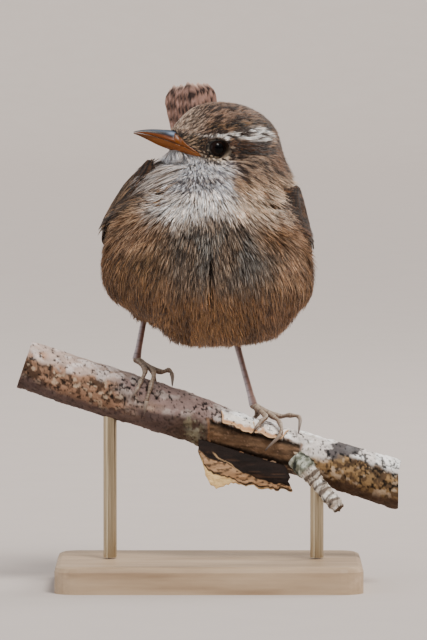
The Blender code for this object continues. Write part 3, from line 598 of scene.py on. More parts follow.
    # Head: crown, brow, eye stripe, cheek and chin.
    on = smooth(0.35, 0.75, w)
    lay(on, (163, 133, 108), (62, 45, 33), 0.48)
    lay(on * smooth(-1.5, -5.0, u) * smooth(-11.0, -6.0, f), (188, 160, 136), (58, 43, 35), 0.48)
    lay(on * smooth(1.6, 4.2, u - 0.25 * (-f - 2.0)), (152, 121, 99), (58, 41, 32), 0.51)
    over_brow = bump_at(2.0, 1.6, u - behind_eye(f, BROW_LINE)) * smooth(1.5, 3.0, a) * smooth(7.5, 5.0, f)
    lay(on * over_brow * 0.9, (128, 98, 66), (28, 20, 14), 0.6)
    lay(on * smooth(5.5, 8.5, f) * smooth(-0.5, 1.0, u), (184, 160, 140), (84, 67, 56), 0.42)
    lay(on * smooth(-7.5, -11.5, f), (146, 112, 88), (62, 45, 34), 0.45)
    line = behind_eye(f, STRIPE_LINE)
    stripe = smooth(1.15, 0.6, np.abs(u - line) / behind_eye(f, STRIPE_HALF))
    lay(on * stripe * smooth(1.5, 3.0, a) * smooth(-11.0, -7.0, f), (92, 62, 42), (32, 21, 14), 0.62)
    line = behind_eye(f, BROW_LINE)
    brow = smooth(1.2, 0.55, np.abs(u - line) / behind_eye(f, BROW_HALF))
    whiter = (1.0 - 0.6 * smooth(2.0, 5.0, f)) * smooth(-9.8, -7.0, f)
    ragged = np.clip(0.98 + 0.4 * noise(points, 0.85, 57), 0, 1.1)
    lay(on * brow * smooth(1.5, 3.5, a) * whiter * ragged, (255, 254, 250), (62, 46, 36), 0.4)
    edge = u + np.where(f > 6.0, -0.14, 0.1) * (f - 6.0)
    chin = smooth(-4.35, -5.0, edge) * smooth(-1.5, 4.0, f - 0.5 * (u + 5.0))
    chin = chin * smooth(7.5, 3.0, y + 0.8 * wander) * smooth(9.0, 5.0, y + 0.8 * wander)
    lay(on * chin, (251, 250, 251), (124, 121, 127), 0.2)
    lores = smooth(6.3, 7.6, f) * smooth(-4.4, -3.6, edge) * smooth(0.6, -0.4, u)
    lay(on * lores * 0.85, (178, 150, 122), (18, 13, 10), 0.6)
    before_eye = bump_at(-1.6, 1.9, u) * bump_at(6.9, 1.3, f) * smooth(3.0, 4.2, a)
    lay(on * before_eye * 0.9, (104, 80, 56), (22, 16, 12), 0.66)
    under_eye = bump_at(-5.2, 1.6, u) * bump_at(4.0, 3.4, f)
    lay(on * under_eye * 0.85, (228, 214, 200), (58, 46, 40), 0.44)
    around = np.hypot(f - EYE_PLACE[0], u - EYE_PLACE[2])
    ring = bump_at(2.75, 0.75, around) * smooth(3.0, 4.5, a)
    side_of = (EYE_PLACE[0] - f) * 0.35 - (u - EYE_PLACE[2])
    lay(on * ring * smooth(-0.6, 1.2, side_of) * 0.9, (226, 206, 180), (48, 37, 30), 0.42)
    lay(on * ring * smooth(1.6, 2.4, u - EYE_PLACE[2]) * 0.8, (240, 236, 230), (54, 43, 36), 0.34)
    leg = on_thigh(points)
    lay(leg, (158, 122, 88), (92, 64, 42), 0.36)
    return light, dark, share


def barring(points):
    """How strongly the feathers carry dark bars, from 0 to 1."""
    x, y, z = points.T
    off = np.abs(np.degrees(np.arctan2(x - 0.5, -(y + 0.5))))
    body = 1 - head_weight(points)
    return body * np.clip(smooth(48, 75, off) * smooth(88, 80, z) + smooth(95, 120, off), 0, 1)


def on_thigh(points):
    """1 on the feathered cones of the legs and 0 elsewhere."""
    total = np.zeros(len(points))
    for side, heel in HEELS.items():
        heel, joint = np.array(heel), np.array(TOE_JOINTS[side])
        axis = unit(joint - heel)
        offset = points - heel
        along = offset @ axis
        far = np.linalg.norm(offset - along[:, None] * axis, axis=1)
        bottom = 53.6 if side == "left" else 58.6
        total = np.maximum(total, smooth(3.6, 2.4, far) * smooth(bottom + 4.2, bottom + 1.6, points[:, 2]))
    return total


def wing_spot(points, side):
    """How far along and across a folded wing each place on the torso lies."""
    wing = WINGS[side]
    x, y, z = points.T
    left, right, front, back = look_up(TORSO_TABLE, z)
    a = (x - (left + right) / 2) / (right - left) * 2
    b = (y - (front + back) / 2) / (back - front) * 2
    half = TORSO_ROUNDNESS / 2
    turn = np.degrees(np.arctan2(np.sign(b) * np.abs(b) ** half, np.sign(a) * np.abs(a) ** half))
    if side == "right":
        turn = np.where(turn < -30, turn + 360, turn)
    along = (turn - wing["front"]) / (wing["back"] - wing["front"])
    fall = wing["front_height"] - wing["back_height"]
    middle = wing["front_height"] - fall * np.maximum(along, 0.0) ** 1.15
    across = (z - middle) / eased(WING_HALF_HEIGHTS, np.clip(along, 0, 1))
    return along, across


def under_wing(points):
    """1 where a folded wing hides the coat."""
    total = np.zeros(len(points))
    for side in WINGS:
        along, across = wing_spot(points, side)
        inside = smooth(0.2, 0.3, along) * smooth(0.66, 0.5, along) * smooth(0.8, 0.6, np.abs(across))
        total = np.maximum(total, inside)
    return total


def over_wing(points):
    """How much the tufts rise to lap over the front and top edges of a wing."""
    total = np.zeros(len(points))
    for side in WINGS:
        along, across = wing_spot(points, side)
        front = smooth(-0.42, -0.2, along) * smooth(0.2, 0.08, along) * smooth(1.7, 1.1, np.abs(across + 0.1))
        top = bump_at(1.15, 0.6, across) * smooth(-0.1, 0.1, along) * smooth(1.0, 0.8, along)
        shoulder = bump_at(1.5, 0.75, across) * bump_at(0.12, 0.42, along)
        shoulder = shoulder * (0.6 if side == "right" else 0.8)
        total = np.maximum(total, np.maximum(np.maximum(front, 0.8 * top), shoulder))
    return total


def coat_depth(points):
    """How far the feathers stand over the skin."""
    head = to_head(points)
    f, a, u = head[:, 0], np.abs(head[:, 1]), head[:, 2]
    w = head_weight(points)
    on_body = 2.2 + 0.4 * smooth(66, 58, points[:, 2])
    on_head = 1.4 - 1.0 * smooth(-1.0, 9.0, f) * smooth(-5.4, -4.4, u)
    to_eye = np.hypot(f - EYE_PLACE[0], u - EYE_PLACE[2])
    near_eye = smooth(4.6, 2.4, to_eye) * smooth(2.0, 4.0, a)
    on_head = on_head * (1 - near_eye) + 0.5 * near_eye
    depth = on_body * (1 - w) + on_head * w
    leg = on_thigh(points)
    return depth * (1 - leg) + 1.4 * leg


def lie(points, normals):
    """The way the feathers point along the skin."""
    x, y, z = points.T
    head = to_head(points)
    w = head_weight(points)[:, None]
    from_bill = unit(points - BILL_SPOT)
    off_f, off_u = head[:, 0] - EYE_PLACE[0], head[:, 2] - EYE_PLACE[2]
    rho = np.hypot(off_f, off_u)
    part_eye = smooth(4.4, 2.3, rho) * smooth(3.0, 4.5, np.abs(head[:, 1]))
    away = off_f[:, None] * FORWARD + off_u[:, None] * UPWARD
    from_bill = unit(from_bill + unit(away) * (0.9 * part_eye)[:, None])
    centre_x = -5.5 + 4.5 * smooth(92.0, 78.0, z)
    from_throat = unit(np.stack((x - centre_x, 0.3 * (y - THROAT_SPOT[1]), z - 100.5), -1))
    beside = smooth(-6.5, -9.5, x) * smooth(84.0, 88.0, z)
    back = smooth(6.0 + 6.0 * beside, 19.0 + 5.0 * beside, y)[:, None]
    under = (smooth(63.0, 55.0, z) * smooth(-14.0, 0.0, y))[:, None]
    body = from_throat + np.array((0.0, 0.0, -0.28)) * (1 - back)
    body = body * (1 - 0.55 * back) + unit(TAIL_ROOT - points) * 1.3 * back
    body = body + np.array((0.0, 1.1, 0.0)) * under
    split = np.exp(-(((x - 0.35) / 1.8) ** 2)) * bump_at(71.5, 8.0, z) * smooth(-4.0, -10.0, y)
    body = body + np.array((1.0, 0.0, 0.0)) * (np.sign(x - 0.35) * 0.8 * split)[:, None]
    leg = on_thigh(points)[:, None]
    body = unit(body) * (1 - leg) + np.array((0.0, -0.1, -1.0)) * leg
    chin = smooth(-3.6, -5.6, head[:, 2]) * smooth(-1.0, 4.0, head[:, 0])
    w = w * (1 - chin[:, None])
    way = from_bill * w + unit(body) * (1 - w)
    swirl = np.stack((noise(points, 5.0, 51), noise(points, 5.0, 52), noise(points, 5.0, 53)), -1)
    way = way + swirl * 0.16
    way = way - normals * np.sum(way * normals, -1, keepdims=True)
    return unit(way)


# ---- skin ----


def flesh_mesh():
    """The nodes of flesh grown into one closed surface, with the seats filled."""
    bm = bmesh.new()
    for name in FLESH:
        part = bmesh.new()
        part.from_mesh(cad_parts[name].data)
        bmesh.ops.remove_doubles(part, verts=part.verts, dist=2e-6)
        bmesh.ops.recalc_face_normals(part, faces=part.faces)
        part.normal_update()
        moves = [vert.normal * 0.25 * MM for vert in part.verts]
        for vert, move in zip(part.verts, moves):
            vert.co += move
        mesh = bpy.data.meshes.new("part")
        part.to_mesh(mesh)
        part.free()
        bm.from_mesh(mesh)
        bpy.data.meshes.remove(mesh)
    fillers = [(EYE_PLACE[0], side * 5.05, EYE_PLACE[2], 2.35) for side in (1, -1)]
    fillers += [(8.2, 0.0, -3.0, 3.2), (10.0, 0.0, -2.4, 2.2)]
    for forward, side, up, radius in fillers:
        made = bmesh.ops.create_uvsphere(bm, u_segments=24, v_segments=16, radius=radius * MM)
        centre = Vector(from_head(*np.array((forward, side, up), float)) * MM)
        bmesh.ops.translate(bm, vec=centre, verts=made["verts"])
    mesh = bpy.data.meshes.new("flesh")
    bm.to_mesh(mesh)
    bm.free()
    item = bpy.data.objects.new("flesh", mesh)
    bpy.context.scene.collection.objects.link(item)
    modifier = item.modifiers.new("remesh", "REMESH")
    modifier.mode = "VOXEL"
    modifier.voxel_size = 0.55 * MM
    graph = bpy.context.evaluated_depsgraph_get()
    result = bpy.data.meshes.new_from_object(item.evaluated_get(graph))
    bpy.data.objects.remove(item, do_unlink=True)
    points = np.empty(len(result.vertices) * 3, np.float32)
    result.vertices.foreach_get("co", points)
    faces = np.array([tuple(p.vertices) for p in result.polygons if len(p.vertices) == 4], np.int32)
    edges = np.empty(len(result.edges) * 2, np.int32)
    result.edges.foreach_get("vertices", edges)
    bpy.data.meshes.remove(result)
    return points.reshape(-1, 3).astype(float) / MM, faces, edges.reshape(-1, 2)


def relax(points, edges, rounds, share=0.5):
    for _ in range(rounds):
        total = np.zeros_like(points)
        count = np.zeros(len(points))
        for a, b in ((0, 1), (1, 0)):
            np.add.at(total, edges[:, a], points[edges[:, b]])
            np.add.at(count, edges[:, a], 1)
        points = points + (total / np.maximum(count, 1)[:, None] - points) * share
    return points


def normals_of(points, faces):
    a, b, c, d = (points[faces[:, k]] for k in range(4))
    face = np.cross(c - a, d - b)
    total = np.zeros_like(points)
    for k in range(4):
        np.add.at(total, faces[:, k], face)
    return unit(total)


def sink_eyes(points):
    """Presses the skin in behind each eyeball."""
    head = to_head(points)
    f, s, u = head.T
    for side in (1, -1):
        rho = np.hypot((f - EYE_PLACE[0]) / 1.08, (u - EYE_PLACE[2]) / 0.97)
        near = (rho < 3.2) & (s * side > 2.0)
        floor = EYE_PLACE[1] + 0.15
        inner = smooth(2.55, 1.9, rho)
        pressed = side * np.minimum(s * side, floor)
        s = np.where(near, s * (1 - inner) + pressed * inner, s)
    return from_head(f, s, u)


def build_skin():
    points, faces, edges = flesh_mesh()
    points = relax(points, edges, 4)
    for _ in range(4):
        normals = normals_of(points, faces)
        if np.sum(normals[:, 2] * (points[:, 2] - 80.0)) < 0:
            faces = faces[:, ::-1]
            normals = -normals
        points = points - normals * (coat_depth(points) + 0.25)[:, None] / 4
        points = relax(points, edges, 1, 0.4)
    points = sink_eyes(points)
    return points, faces


def lid_band(side):
    """Both lids: a beaded rim on the eyeball, and the bare skin from it out to the first feathers."""
    rows, columns = 150, 16
    around = np.linspace(0, 2 * math.pi, rows + 1)[:-1][:, None]
    out = np.linspace(0, 1, columns)[None, :]
    c, s = np.cos(around), np.sin(around)
    f = LID_HALF[0] * c * (1 - out) + 2.85 * c * out
    u = (LID_HALF[1] * s + 0.1 * np.abs(c) * c) * (1 - out) + 2.75 * s * out
    rho = np.hypot(f, u)
    on_ball = np.sqrt(np.maximum((EYE_RADIUS * 1.01) ** 2 - rho**2, 0.0))
    beads = 0.5 + 0.5 * np.cos(around * 34)
    rim = 0.2 * np.exp(-(((out - 0.12) / 0.09) ** 2)) * (0.7 + 0.3 * beads)
    rise = np.maximum(on_ball, 0.28) + 0.04 + rim - 0.3 * smooth(0.07, 0.0, out)
    fold = 0.07 * np.exp(-(((out - 0.5) / 0.09) ** 2)) * np.maximum(s, 0.2)
    rise = rise + fold - 0.5 * smooth(0.8, 1.0, out)
    points = from_head(EYE_PLACE[0] + f, side * (EYE_PLACE[1] + rise), EYE_PLACE[2] + u)
    lower = smooth(0.5, -0.7, s + 0.5 * c)
    spots = noise(points, 0.34, 66)
    dotted = smooth(0.16, 0.3, out) * smooth(0.62, 0.48, out) * (0.15 + 0.85 * lower) * smooth(-0.1, 0.25, spots)
    tint = linear(20, 16, 14) * (1 - dotted[..., None]) + linear(206, 186, 160) * dotted[..., None]
    skin = smooth(0.62, 0.85, out)[..., None]
    tint = tint * (1 - skin) + linear(60, 46, 36) * skin
    faces = grid_faces(columns, rows)
    return np.swapaxes(points, 0, 1).reshape(-1, 3), faces, np.swapaxes(tint, 0, 1).reshape(-1, 3)


# The skin's unwrap: six views of the head over six of the body, each in its own cell.
CHART_BOXES = {0: ((-28.0, -28.0, 48.0), 62.0), 1: ((-16.0, -26.0, 84.0), 42.0)}


def chart_place(points, normals):
    """Where each place falls on the unwrap, from 0 to 1 both ways."""
    on_head = (head_weight(points) > 0.5).astype(int)
    axis = np.argmax(np.abs(normals), axis=1)
    sign = (np.take_along_axis(normals, axis[:, None], 1)[:, 0] > 0).astype(int)
    chart = axis * 2 + sign
    column, row = chart % 4, chart // 4 + 2 * on_head
    column = np.where(chart >= 4, chart - 4 + 0, column)
    spots = np.zeros((len(points), 2))
    for part, (corner, size) in CHART_BOXES.items():
        mine = on_head == part
        local = (points - np.array(corner)) / size
        for k, (p, q) in enumerate(((1, 2), (0, 2), (0, 1))):
            chosen = mine & (axis == k)
            spots[chosen] = local[chosen][:, (p, q)]
    spots = np.clip(spots, 0.0, 1.0)
    cell = np.array((0.25, 0.25))
    return (np.stack((column, row), -1) + 0.03 + spots * 0.94) * cell


# ---- the coat ----


class Surface:
    """The skin as something to find the nearest place on."""

    def __init__(self, points, faces):
        self.points, self.faces = points, faces
        self.normals = normals_of(points, faces)
        self.tree = BVHTree.FromPolygons([tuple(p) for p in points], faces.tolist())
        self.triangles = np.concatenate((faces[:, (0, 1, 2)], faces[:, (0, 2, 3)]))

    def nearest(self, places):
        spots = np.empty_like(places)
        index = np.empty(len(places), np.int64)
        find = self.tree.find_nearest
        for k, place in enumerate(places):
            spot, _, face, _ = find(place)
            spots[k] = spot
            index[k] = face
        corners = self.faces[index]
        offset = self.points[corners] - spots[:, None]
        weight = 1.0 / (np.sum(offset**2, -1) + 0.01)
        return spots, unit(np.sum(self.normals[corners] * weight[..., None], 1))

    def scatter(self, spacing, seed):
        """Places spread evenly over the skin, one to each small cell of space."""
        rng = np.random.default_rng(seed)
        corners = self.points[self.triangles]
        area = np.linalg.norm(
            np.cross(corners[:, 1] - corners[:, 0], corners[:, 2] - corners[:, 0]), axis=1
        )
        total = area.sum() / 2
        count = int(total / spacing**2 * 3.2)
        chosen = rng.choice(len(area), count, p=area / area.sum())
        a, b = rng.random((2, count))
        flip = a + b > 1
        a, b = np.where(flip, 1 - a, a), np.where(flip, 1 - b, b)
        c = corners[chosen]
        places = c[:, 0] + (c[:, 1] - c[:, 0]) * a[:, None] + (c[:, 2] - c[:, 0]) * b[:, None]
        cell = np.floor(places / (spacing * 1.12)).astype(np.int64)
        key = (cell[:, 0] * 4099 + cell[:, 1]) * 4099 + cell[:, 2]
        _, first = np.unique(key, return_index=True)
        places = places[first]
        rng.shuffle(places)
        return places


GUIDE_STEPS = 4


def walk(surface, roots, normals, lengths, stiffness):
    """Guide lines that follow the skin from each root, a little straighter where stiff."""
    place, normal = roots, normals
    lines, ups, ways = [place], [normal], []
    first = lie(place, normal)
    for k in range(GUIDE_STEPS):
        way = lie(place, normal)
        ways.append(way)
        place, normal = surface.nearest(place + way * (lengths / GUIDE_STEPS)[:, None])
        straight = roots + first * (lengths * (k + 1) / GUIDE_STEPS)[:, None]
        lines.append(place * (1 - stiffness)[:, None] + straight * stiffness[:, None])
        ups.append(normal)
    ways.append(ways[-1])
    return np.array(lines), np.array(ups), np.array(ways)


def strand_template(stations):
    """Faces of one three-sided strand, and the unrolled uv of their corners."""
    count = len(stations)
    tip = 3 * count
    faces, corners = [(0, 2, 1)], [((0.0, 0.0), (0.2, 0.0), (0.1, 0.08))]
    for side in (2, 0, 1):
        u0, u1 = side / 3, (side + 1) / 3
        for k in range(count - 1):
            a, b = 3 * k + side, 3 * k + (side + 1) % 3
            v0, v1 = stations[k], stations[k + 1]
            faces.append((a, b, b + 3))
            corners.append(((u0, v0), (u1, v0), (u1, v1)))
            faces.append((a, b + 3, a + 3))
            corners.append(((u0, v0), (u1, v1), (u0, v1)))
        a, b = 3 * (count - 1) + side, 3 * (count - 1) + (side + 1) % 3
        faces.append((a, b, tip))
        corners.append(((u0, stations[-1]), (u1, stations[-1]), ((u0 + u1) / 2, 1.0)))
    return np.array(faces), np.array(corners)


FRINGE = np.array(
    (
        (-23.5, 68.0),
        (-22.0, 63.4),
        (-19.8, 61.2),
        (-17.6, 60.2),
        (-14.2, 59.3),
        (-11.3, 57.2),
        (-10.2, 55.6),
        (-7.6, 54.2),
        (-4.2, 53.2),
        (0.2, 53.3),
        (4.7, 53.7),
        (8.0, 54.6),
        (12.4, 54.9),
        (17.6, 55.6),
        (18.2, 58.2),
        (20.2, 60.5),
        (22.0, 63.8),
        (23.8, 66.2),
    )
)


def guides_on(surface, roots, normals, style, rng):
    lengths = style["length"](roots) * rng.uniform(0.82, 1.15, len(roots))
    low = np.interp(roots[:, 0], FRINGE[:, 0], FRINGE[:, 1]) + rng.uniform(-0.5, 0.2, len(roots))
    low = low - 0.1 + 1.3 * noise(roots * (1.0, 0.4, 0.4), 0.9, 64)
    lengths = np.minimum(lengths, np.maximum(roots[:, 2] - low, 0.7))
    return walk(surface, roots, normals, lengths, style["stiffness"](roots))


def grow(guides, roots, normals, style, rng):
    """Tufts of fine strands. Returns points, faces, tints and uv corners, tuft by tuft."""
    count, strands = len(roots), style["strands"]
    stations = np.array(style["stations"])
    lines, ups, ways = guides
    depth = style["depth"](roots)
    width = style["width"](roots)
    thin = style["thin"](roots)
    spread = np.linspace(-1, 1, strands)[None, :] + rng.normal(0, 0.22, (count, strands))
    reach = (1.0 - 0.3 * spread**2) * rng.uniform(0.72, 1.04, (count, strands))
    reach = np.clip(reach, 0.35, 1.0)
    lift = rng.uniform(0.66, 1.06, (count, 1)) + rng.normal(0, 0.07, (count, strands))
    t_all = np.append(stations, 1.0)
    share = reach[..., None] * t_all * GUIDE_STEPS
    index = np.clip(share.astype(int), 0, GUIDE_STEPS - 1)
    part = (share - index)[..., None]
    who = np.arange(count)[:, None, None]
    middle = lines[index, who] * (1 - part) + lines[index + 1, who] * part
    up = unit(ups[index, who] * (1 - part) + ups[index + 1, who] * part)
    way = unit(ways[index, who] * (1 - part) + ways[index + 1, who] * part)
    across = unit(np.cross(up, way))
    fan = (0.22 + 0.78 * t_all**0.85)[None, None, :, None]
    wobble = rng.normal(0, 0.05, (count, strands, 1, 1)) * t_all[None, None, :, None]
    middle = middle + across * (spread[..., None, None] * width[:, None, None, None] * fan + wobble)
    height = (0.06 + 0.94 * t_all**0.75) * lift[..., None] * depth[:, None, None]
    height = height + style["rise"](roots)[:, None, None] * t_all**1.3
    middle = middle + up * height[..., None]
    roll = rng.normal(0, 0.45, (count, strands, 1, 1))
    wide = across * np.cos(roll) + up * np.sin(roll)
    ridge = up * np.cos(roll) - across * np.sin(roll)
    profile = np.interp(stations, (0, 0.45, 0.8, 1.0), (0.75, 1.0, 0.7, 0.3))
    half = thin[:, None, None] * profile * rng.uniform(0.75, 1.25, (count, strands, 1))
    body = middle[:, :, :-1]
    wide, ridge, half = wide[:, :, :-1], ridge[:, :, :-1], half[..., None]
    left = body - wide * half
    top = body + ridge * half * 0.7
    right = body + wide * half
    shell = np.stack((left, top, right), 3).reshape(count, strands, -1, 3)
    points = np.concatenate((shell, middle[:, :, -1:]), 2)
    each = points.shape[2]

    # Colours: markings at the middle of each tuft, with dark and light strands and bars.
    where = lines[2]
    light, dark, dark_share = style["look"](where)
    together = style["together"]
    toss = style["toss"](where, rng)[:, None] * together + rng.random((count, strands)) * (1 - together)
    edge = smooth(-0.12, 0.12, dark_share[:, None] - toss)[..., None]
    tone = light[:, None] * (1 - edge) + dark[:, None] * edge
    tuft_shade = rng.normal(0, style["tuft_shade"], (count, 1, 1))
    strand_shade = rng.normal(0, style["strand_shade"], (count, strands, 1))
    tone = tone * np.exp(tuft_shade + strand_shade)
    warm = rng.normal(0, 0.05, (count, strands, 1)) * np.array((1.0, 0.0, -1.0))
    tone = tone * (1 + warm)
    bars = barring(where)[:, None, None]
    phase = rng.uniform(0, 0.25, (count, 1, 1))
    wave = np.sin(2 * math.pi * (t_all[None, None, :] * 1.7 + phase))
    bar = smooth(0.0, 0.7, wave) * bars
    pale_tip = smooth(0.78, 1.0, t_all)[None, None, :] * bars
    # Strands darken toward their roots: partly the feathers' own darker bases and partly painted shade deep in the
    # coat.
    base = (style["root_tone"] + (1 - style["root_tone"]) * smooth(0.05, 0.7, t_all))[None, None, :, None]
    colour = tone[:, :, None] * base
    colour = colour * (1 - 0.55 * bar[..., None]) * (1 + 0.35 * pale_tip[..., None])
    tint = np.repeat(colour[:, :, :-1], 3, axis=2)
    # Painted highlight: the ridge corner of every strand is painted 8% lighter.
    tint[:, :, 1::3] *= 1.08
    tint = np.concatenate((tint, colour[:, :, -1:]), 2)

    faces, corners = strand_template(stations)
    first = np.arange(count * strands) * each
    all_faces = faces[None] + first[:, None, None]
    patch = 0.003
    spot = chart_place(roots, normals) - patch / 2
    column = np.arange(strands)[None, :, None, None, None]
    uv = corners[None, None] * np.array((0.92 / strands, 0.96))
    uv = np.broadcast_to(uv, (count, strands, *corners.shape)).copy()
    uv[..., 0] += column[..., 0] / strands
    uv = spot[:, None, None, None] + uv * patch
    return points.reshape(count, -1, 3), all_faces.reshape(count, -1, 3), tint.reshape(
        count, -1, 3
    ), uv.reshape(count, -1, 3, 2)


def coat_piece(name, grown, chosen, material):
    points, faces, tint, uv = (part[chosen] for part in grown)
    per_tuft = points.shape[1]
    first = grown[1][chosen][:, 0, 0].reshape(-1, 1, 1)
    local = faces - first + (np.arange(len(points)) * per_tuft).reshape(-1, 1, 1)
    return make_piece(
        name,
        points.reshape(-1, 3),
        local.reshape(-1, 3),
        material,
        tint.reshape(-1, 3),
        uv.reshape(-1, 3, 2),
    )


def body_length(points):
    x, y, z = points.T
    length = 5.2 + 1.4 * smooth(82, 68, z) + 0.8 * smooth(10, 22, np.abs(x))
    return length * (1 - 0.8 * on_thigh(points))


def body_stiffness(points):
    x, y, z = points.T
    fringe = smooth(63.0, 57.0, z) * smooth(8.0, 0.0, y)
    return 0.07 + 0.5 * fringe + 0.08 * smooth(14, 22, np.abs(x))


def head_length(points):
    f = to_head(points)[:, 0]
    near_eye = eye_distance(points)
    u = to_head(points)[:, 2]
    length = 1.3 + 2.5 * smooth(10.0, -2.0, f)
    length = np.maximum(length, 2.5 * smooth(-4.0, -4.8, u) * smooth(3.0, 6.0, f))
    length = length + 0.5 * smooth(8.5, 10.5, f)
    return length * (0.42 + 0.58 * smooth(2.4, 5.0, near_eye))


def eye_distance(points):
    head = to_head(points)
    return np.hypot(head[:, 0] - EYE_PLACE[0], head[:, 2] - EYE_PLACE[2])


def near_bill(points):
    """1 on the chin and forehead against the bill, and 0 on the rest of the head."""
    head = to_head(points)
    return np.maximum(smooth(9.0, 10.5, head[:, 0]), smooth(-4.2, -5.0, head[:, 2]) * smooth(3.0, 7.0, head[:, 0]))


def puff(points):
    """How much further the loose feathers of throat and neck stand out."""
    x, y, z = points.T
    throat = 2.1 * bump_at(95.6, 4.2, z) * smooth(-3.5, -7.5, x) * smooth(5.0, -1.0, y)
    throat = throat + 2.6 * bump_at(98.4, 2.8, z) * smooth(-5.5, -8.0, x)
    nape = 1.7 * bump_at(92.6, 4.4, z) * smooth(12.5, 15.5, x)
    return throat + nape


def even_toss(points, rng):
    return rng.random(len(points))


def streaked_toss(points, rng):
    """Values from 0 to 1 that stay alike along the lie of the head's feathers."""
    offset = points - BILL_SPOT
    far = np.linalg.norm(offset, axis=1)
    way = offset / far[:, None]
    turn = np.arctan2(way @ SIDEWAYS, -(way @ FORWARD))
    rise = np.arcsin(np.clip(way @ UPWARD, -1, 1))
    value = noise(np.stack((turn / 0.021, rise / 0.021, far / 4.5), -1), 1.0, 67)
    return 1.0 / (1.0 + np.exp(-5.0 * value + rng.normal(0, 0.5, len(points))))


BODY_STYLE = {
    "depth": coat_depth,
    "rise": lambda p: 1.9 * over_wing(p) + puff(p),
    "look": markings,
    "toss": even_toss,
    "strands": 9,
    "stations": (0.0, 0.42, 0.78),
    "length": body_length,
    "stiffness": body_stiffness,
    "width": lambda p: (0.85 + 0.35 * smooth(84, 70, p[:, 2])) * (1 - 0.6 * on_thigh(p)),
    "thin": lambda p: np.full(len(p), 0.092),
    "tuft_shade": 0.17,
    "strand_shade": 0.23,
    "root_tone": 0.55,
    "together": 0.45,
}
HEAD_STYLE = {
    "depth": coat_depth,
    "rise": lambda p: 0.6 * over_wing(p) + puff(p),
    "look": markings,
    "toss": streaked_toss,
    "strands": 5,
    "stations": (0.0, 0.55),
    "length": head_length,
    "stiffness": lambda p: np.full(len(p), 0.06),
    "width": lambda p: 0.13 + 0.1 * smooth(9.0, 0.0, to_head(p)[:, 0]) + 0.12 * near_bill(p),
    "thin": lambda p: 0.05 + 0.025 * smooth(8.0, 0.0, to_head(p)[:, 0]) + 0.02 * near_bill(p),
    "tuft_shade": 0.16,
    "strand_shade": 0.16,
    "root_tone": 0.58,
    "together": 0.85,
}


def shoulder_look(points):
    count = len(points)
    pale = smooth(-0.2, 0.5, noise(points, 3.0, 68))[:, None]
    light = linear(136, 104, 75) * (1 - pale) + linear(176, 143, 111) * pale
    left = (points[:, 0] > 0)[:, None]
    light = np.where(left, linear(108, 68, 36) * (1 - pale) + linear(134, 92, 52) * pale, light)
    neck = (smooth(-18.5, -14.5, points[:, 0]) * smooth(87.5, 90.0, points[:, 2]))[:, None] * ~left
    light = light * (1 - neck) + linear(212, 202, 194) * neck
    dark = linear(38, 26, 18) * (1 - neck) + linear(92, 78, 68) * neck
    return light, dark, 0.55 - 0.2 * neck[:, 0]


SHOULDER_STYLE = {
    "depth": lambda p: np.full(len(p), 0.3),
    "rise": lambda p: np.zeros(len(p)),
    "look": shoulder_look,
    "toss": even_toss,
    "strands": 8,
    "stations": (0.0, 0.4, 0.75),
    "width": lambda p: np.full(len(p), 0.75),
    "thin": lambda p: np.full(len(p), 0.09),
    "tuft_shade": 0.16,
    "strand_shade": 0.18,
    "root_tone": 0.65,
    "together": 0.5,
}


def clear_of_face(points):
    """False on the eyes and where the bill leaves the face."""
    head = to_head(points)
    f, s, u = head.T
    mouth, ridge, keel, half = look_up(BILL_TABLE, np.clip(f, 7.0, 21.5))
    reach = np.where(u > mouth, ridge - mouth + 0.15, mouth - keel + 0.1)
    in_bill = (f > 9.6) & ((s / (half + 0.1)) ** 2 + ((u - mouth) / reach) ** 2 < 1.0)
    top, _, bottom = look_up(np.array(GAPE_LINE), f)
    jagged = 0.34 * noise(points, 0.55, 63)
    in_gape = (f > 6.5) & (u < top - 0.12 + jagged) & (u > bottom + 0.02 + 0.6 * jagged) & (np.abs(s) > 1.0)
    rho = np.hypot((f - EYE_PLACE[0]) / 1.07, (u - EYE_PLACE[2]) / 0.96)
    on_eye = (rho < 2.4) & (np.abs(s) > 2.0)
    return ~(in_bill | in_gape | on_eye) & (f < 13.2)


def build_coat(surface, material):
    rng = np.random.default_rng(77)
    roots = surface.scatter(0.81 / math.sqrt(coat_share), 11)
    w = head_weight(roots)
    hidden = under_wing(roots) > rng.uniform(0.2, 0.9, len(roots))
    leg_end = (on_thigh(roots) > 0.5) & (roots[:, 2] < np.where(roots[:, 0] > -4.0, 54.9, 59.9))
    roots = roots[(w + rng.normal(0, 0.12, len(w)) < 0.5) & ~hidden & ~leg_end]
    roots, normals = surface.nearest(roots)
    grown = grow(guides_on(surface, roots, normals, BODY_STYLE, rng), roots, normals, BODY_STYLE, rng)
    turn = np.degrees(np.arctan2(roots[:, 0], -roots[:, 1]))
    rank = np.argsort(np.where(turn < -180 + 25, turn + 360, turn), kind="stable")
    triangles = grown[1].shape[1]
    pieces = max(1, math.ceil(len(roots) * triangles / 185000))
    for k, chosen in enumerate(np.array_split(rank, pieces)):
        coat_piece(f"coat_body_{k + 1}", grown, chosen, material)
    print("body tufts", len(roots), "triangles", len(roots) * triangles)

    roots = surface.scatter(0.368 / math.sqrt(coat_share), 12)
    w = head_weight(roots)
    keep = w + rng.normal(0, 0.12, len(w)) >= 0.45
    roots = roots[keep & clear_of_face(roots)]
    roots, normals = surface.nearest(roots)
    grown = grow(guides_on(surface, roots, normals, HEAD_STYLE, rng), roots, normals, HEAD_STYLE, rng)
    rank = np.argsort(to_head(roots)[:, 1], kind="stable")
    triangles = grown[1].shape[1]
    pieces = max(1, math.ceil(len(roots) * triangles / 185000))
    for k, chosen in enumerate(np.array_split(rank, pieces)):
        coat_piece(f"coat_head_{k + 1}", grown, chosen, material)
    print("head tufts", len(roots), "triangles", len(roots) * triangles)


# ---- vanes of wings and tail ----


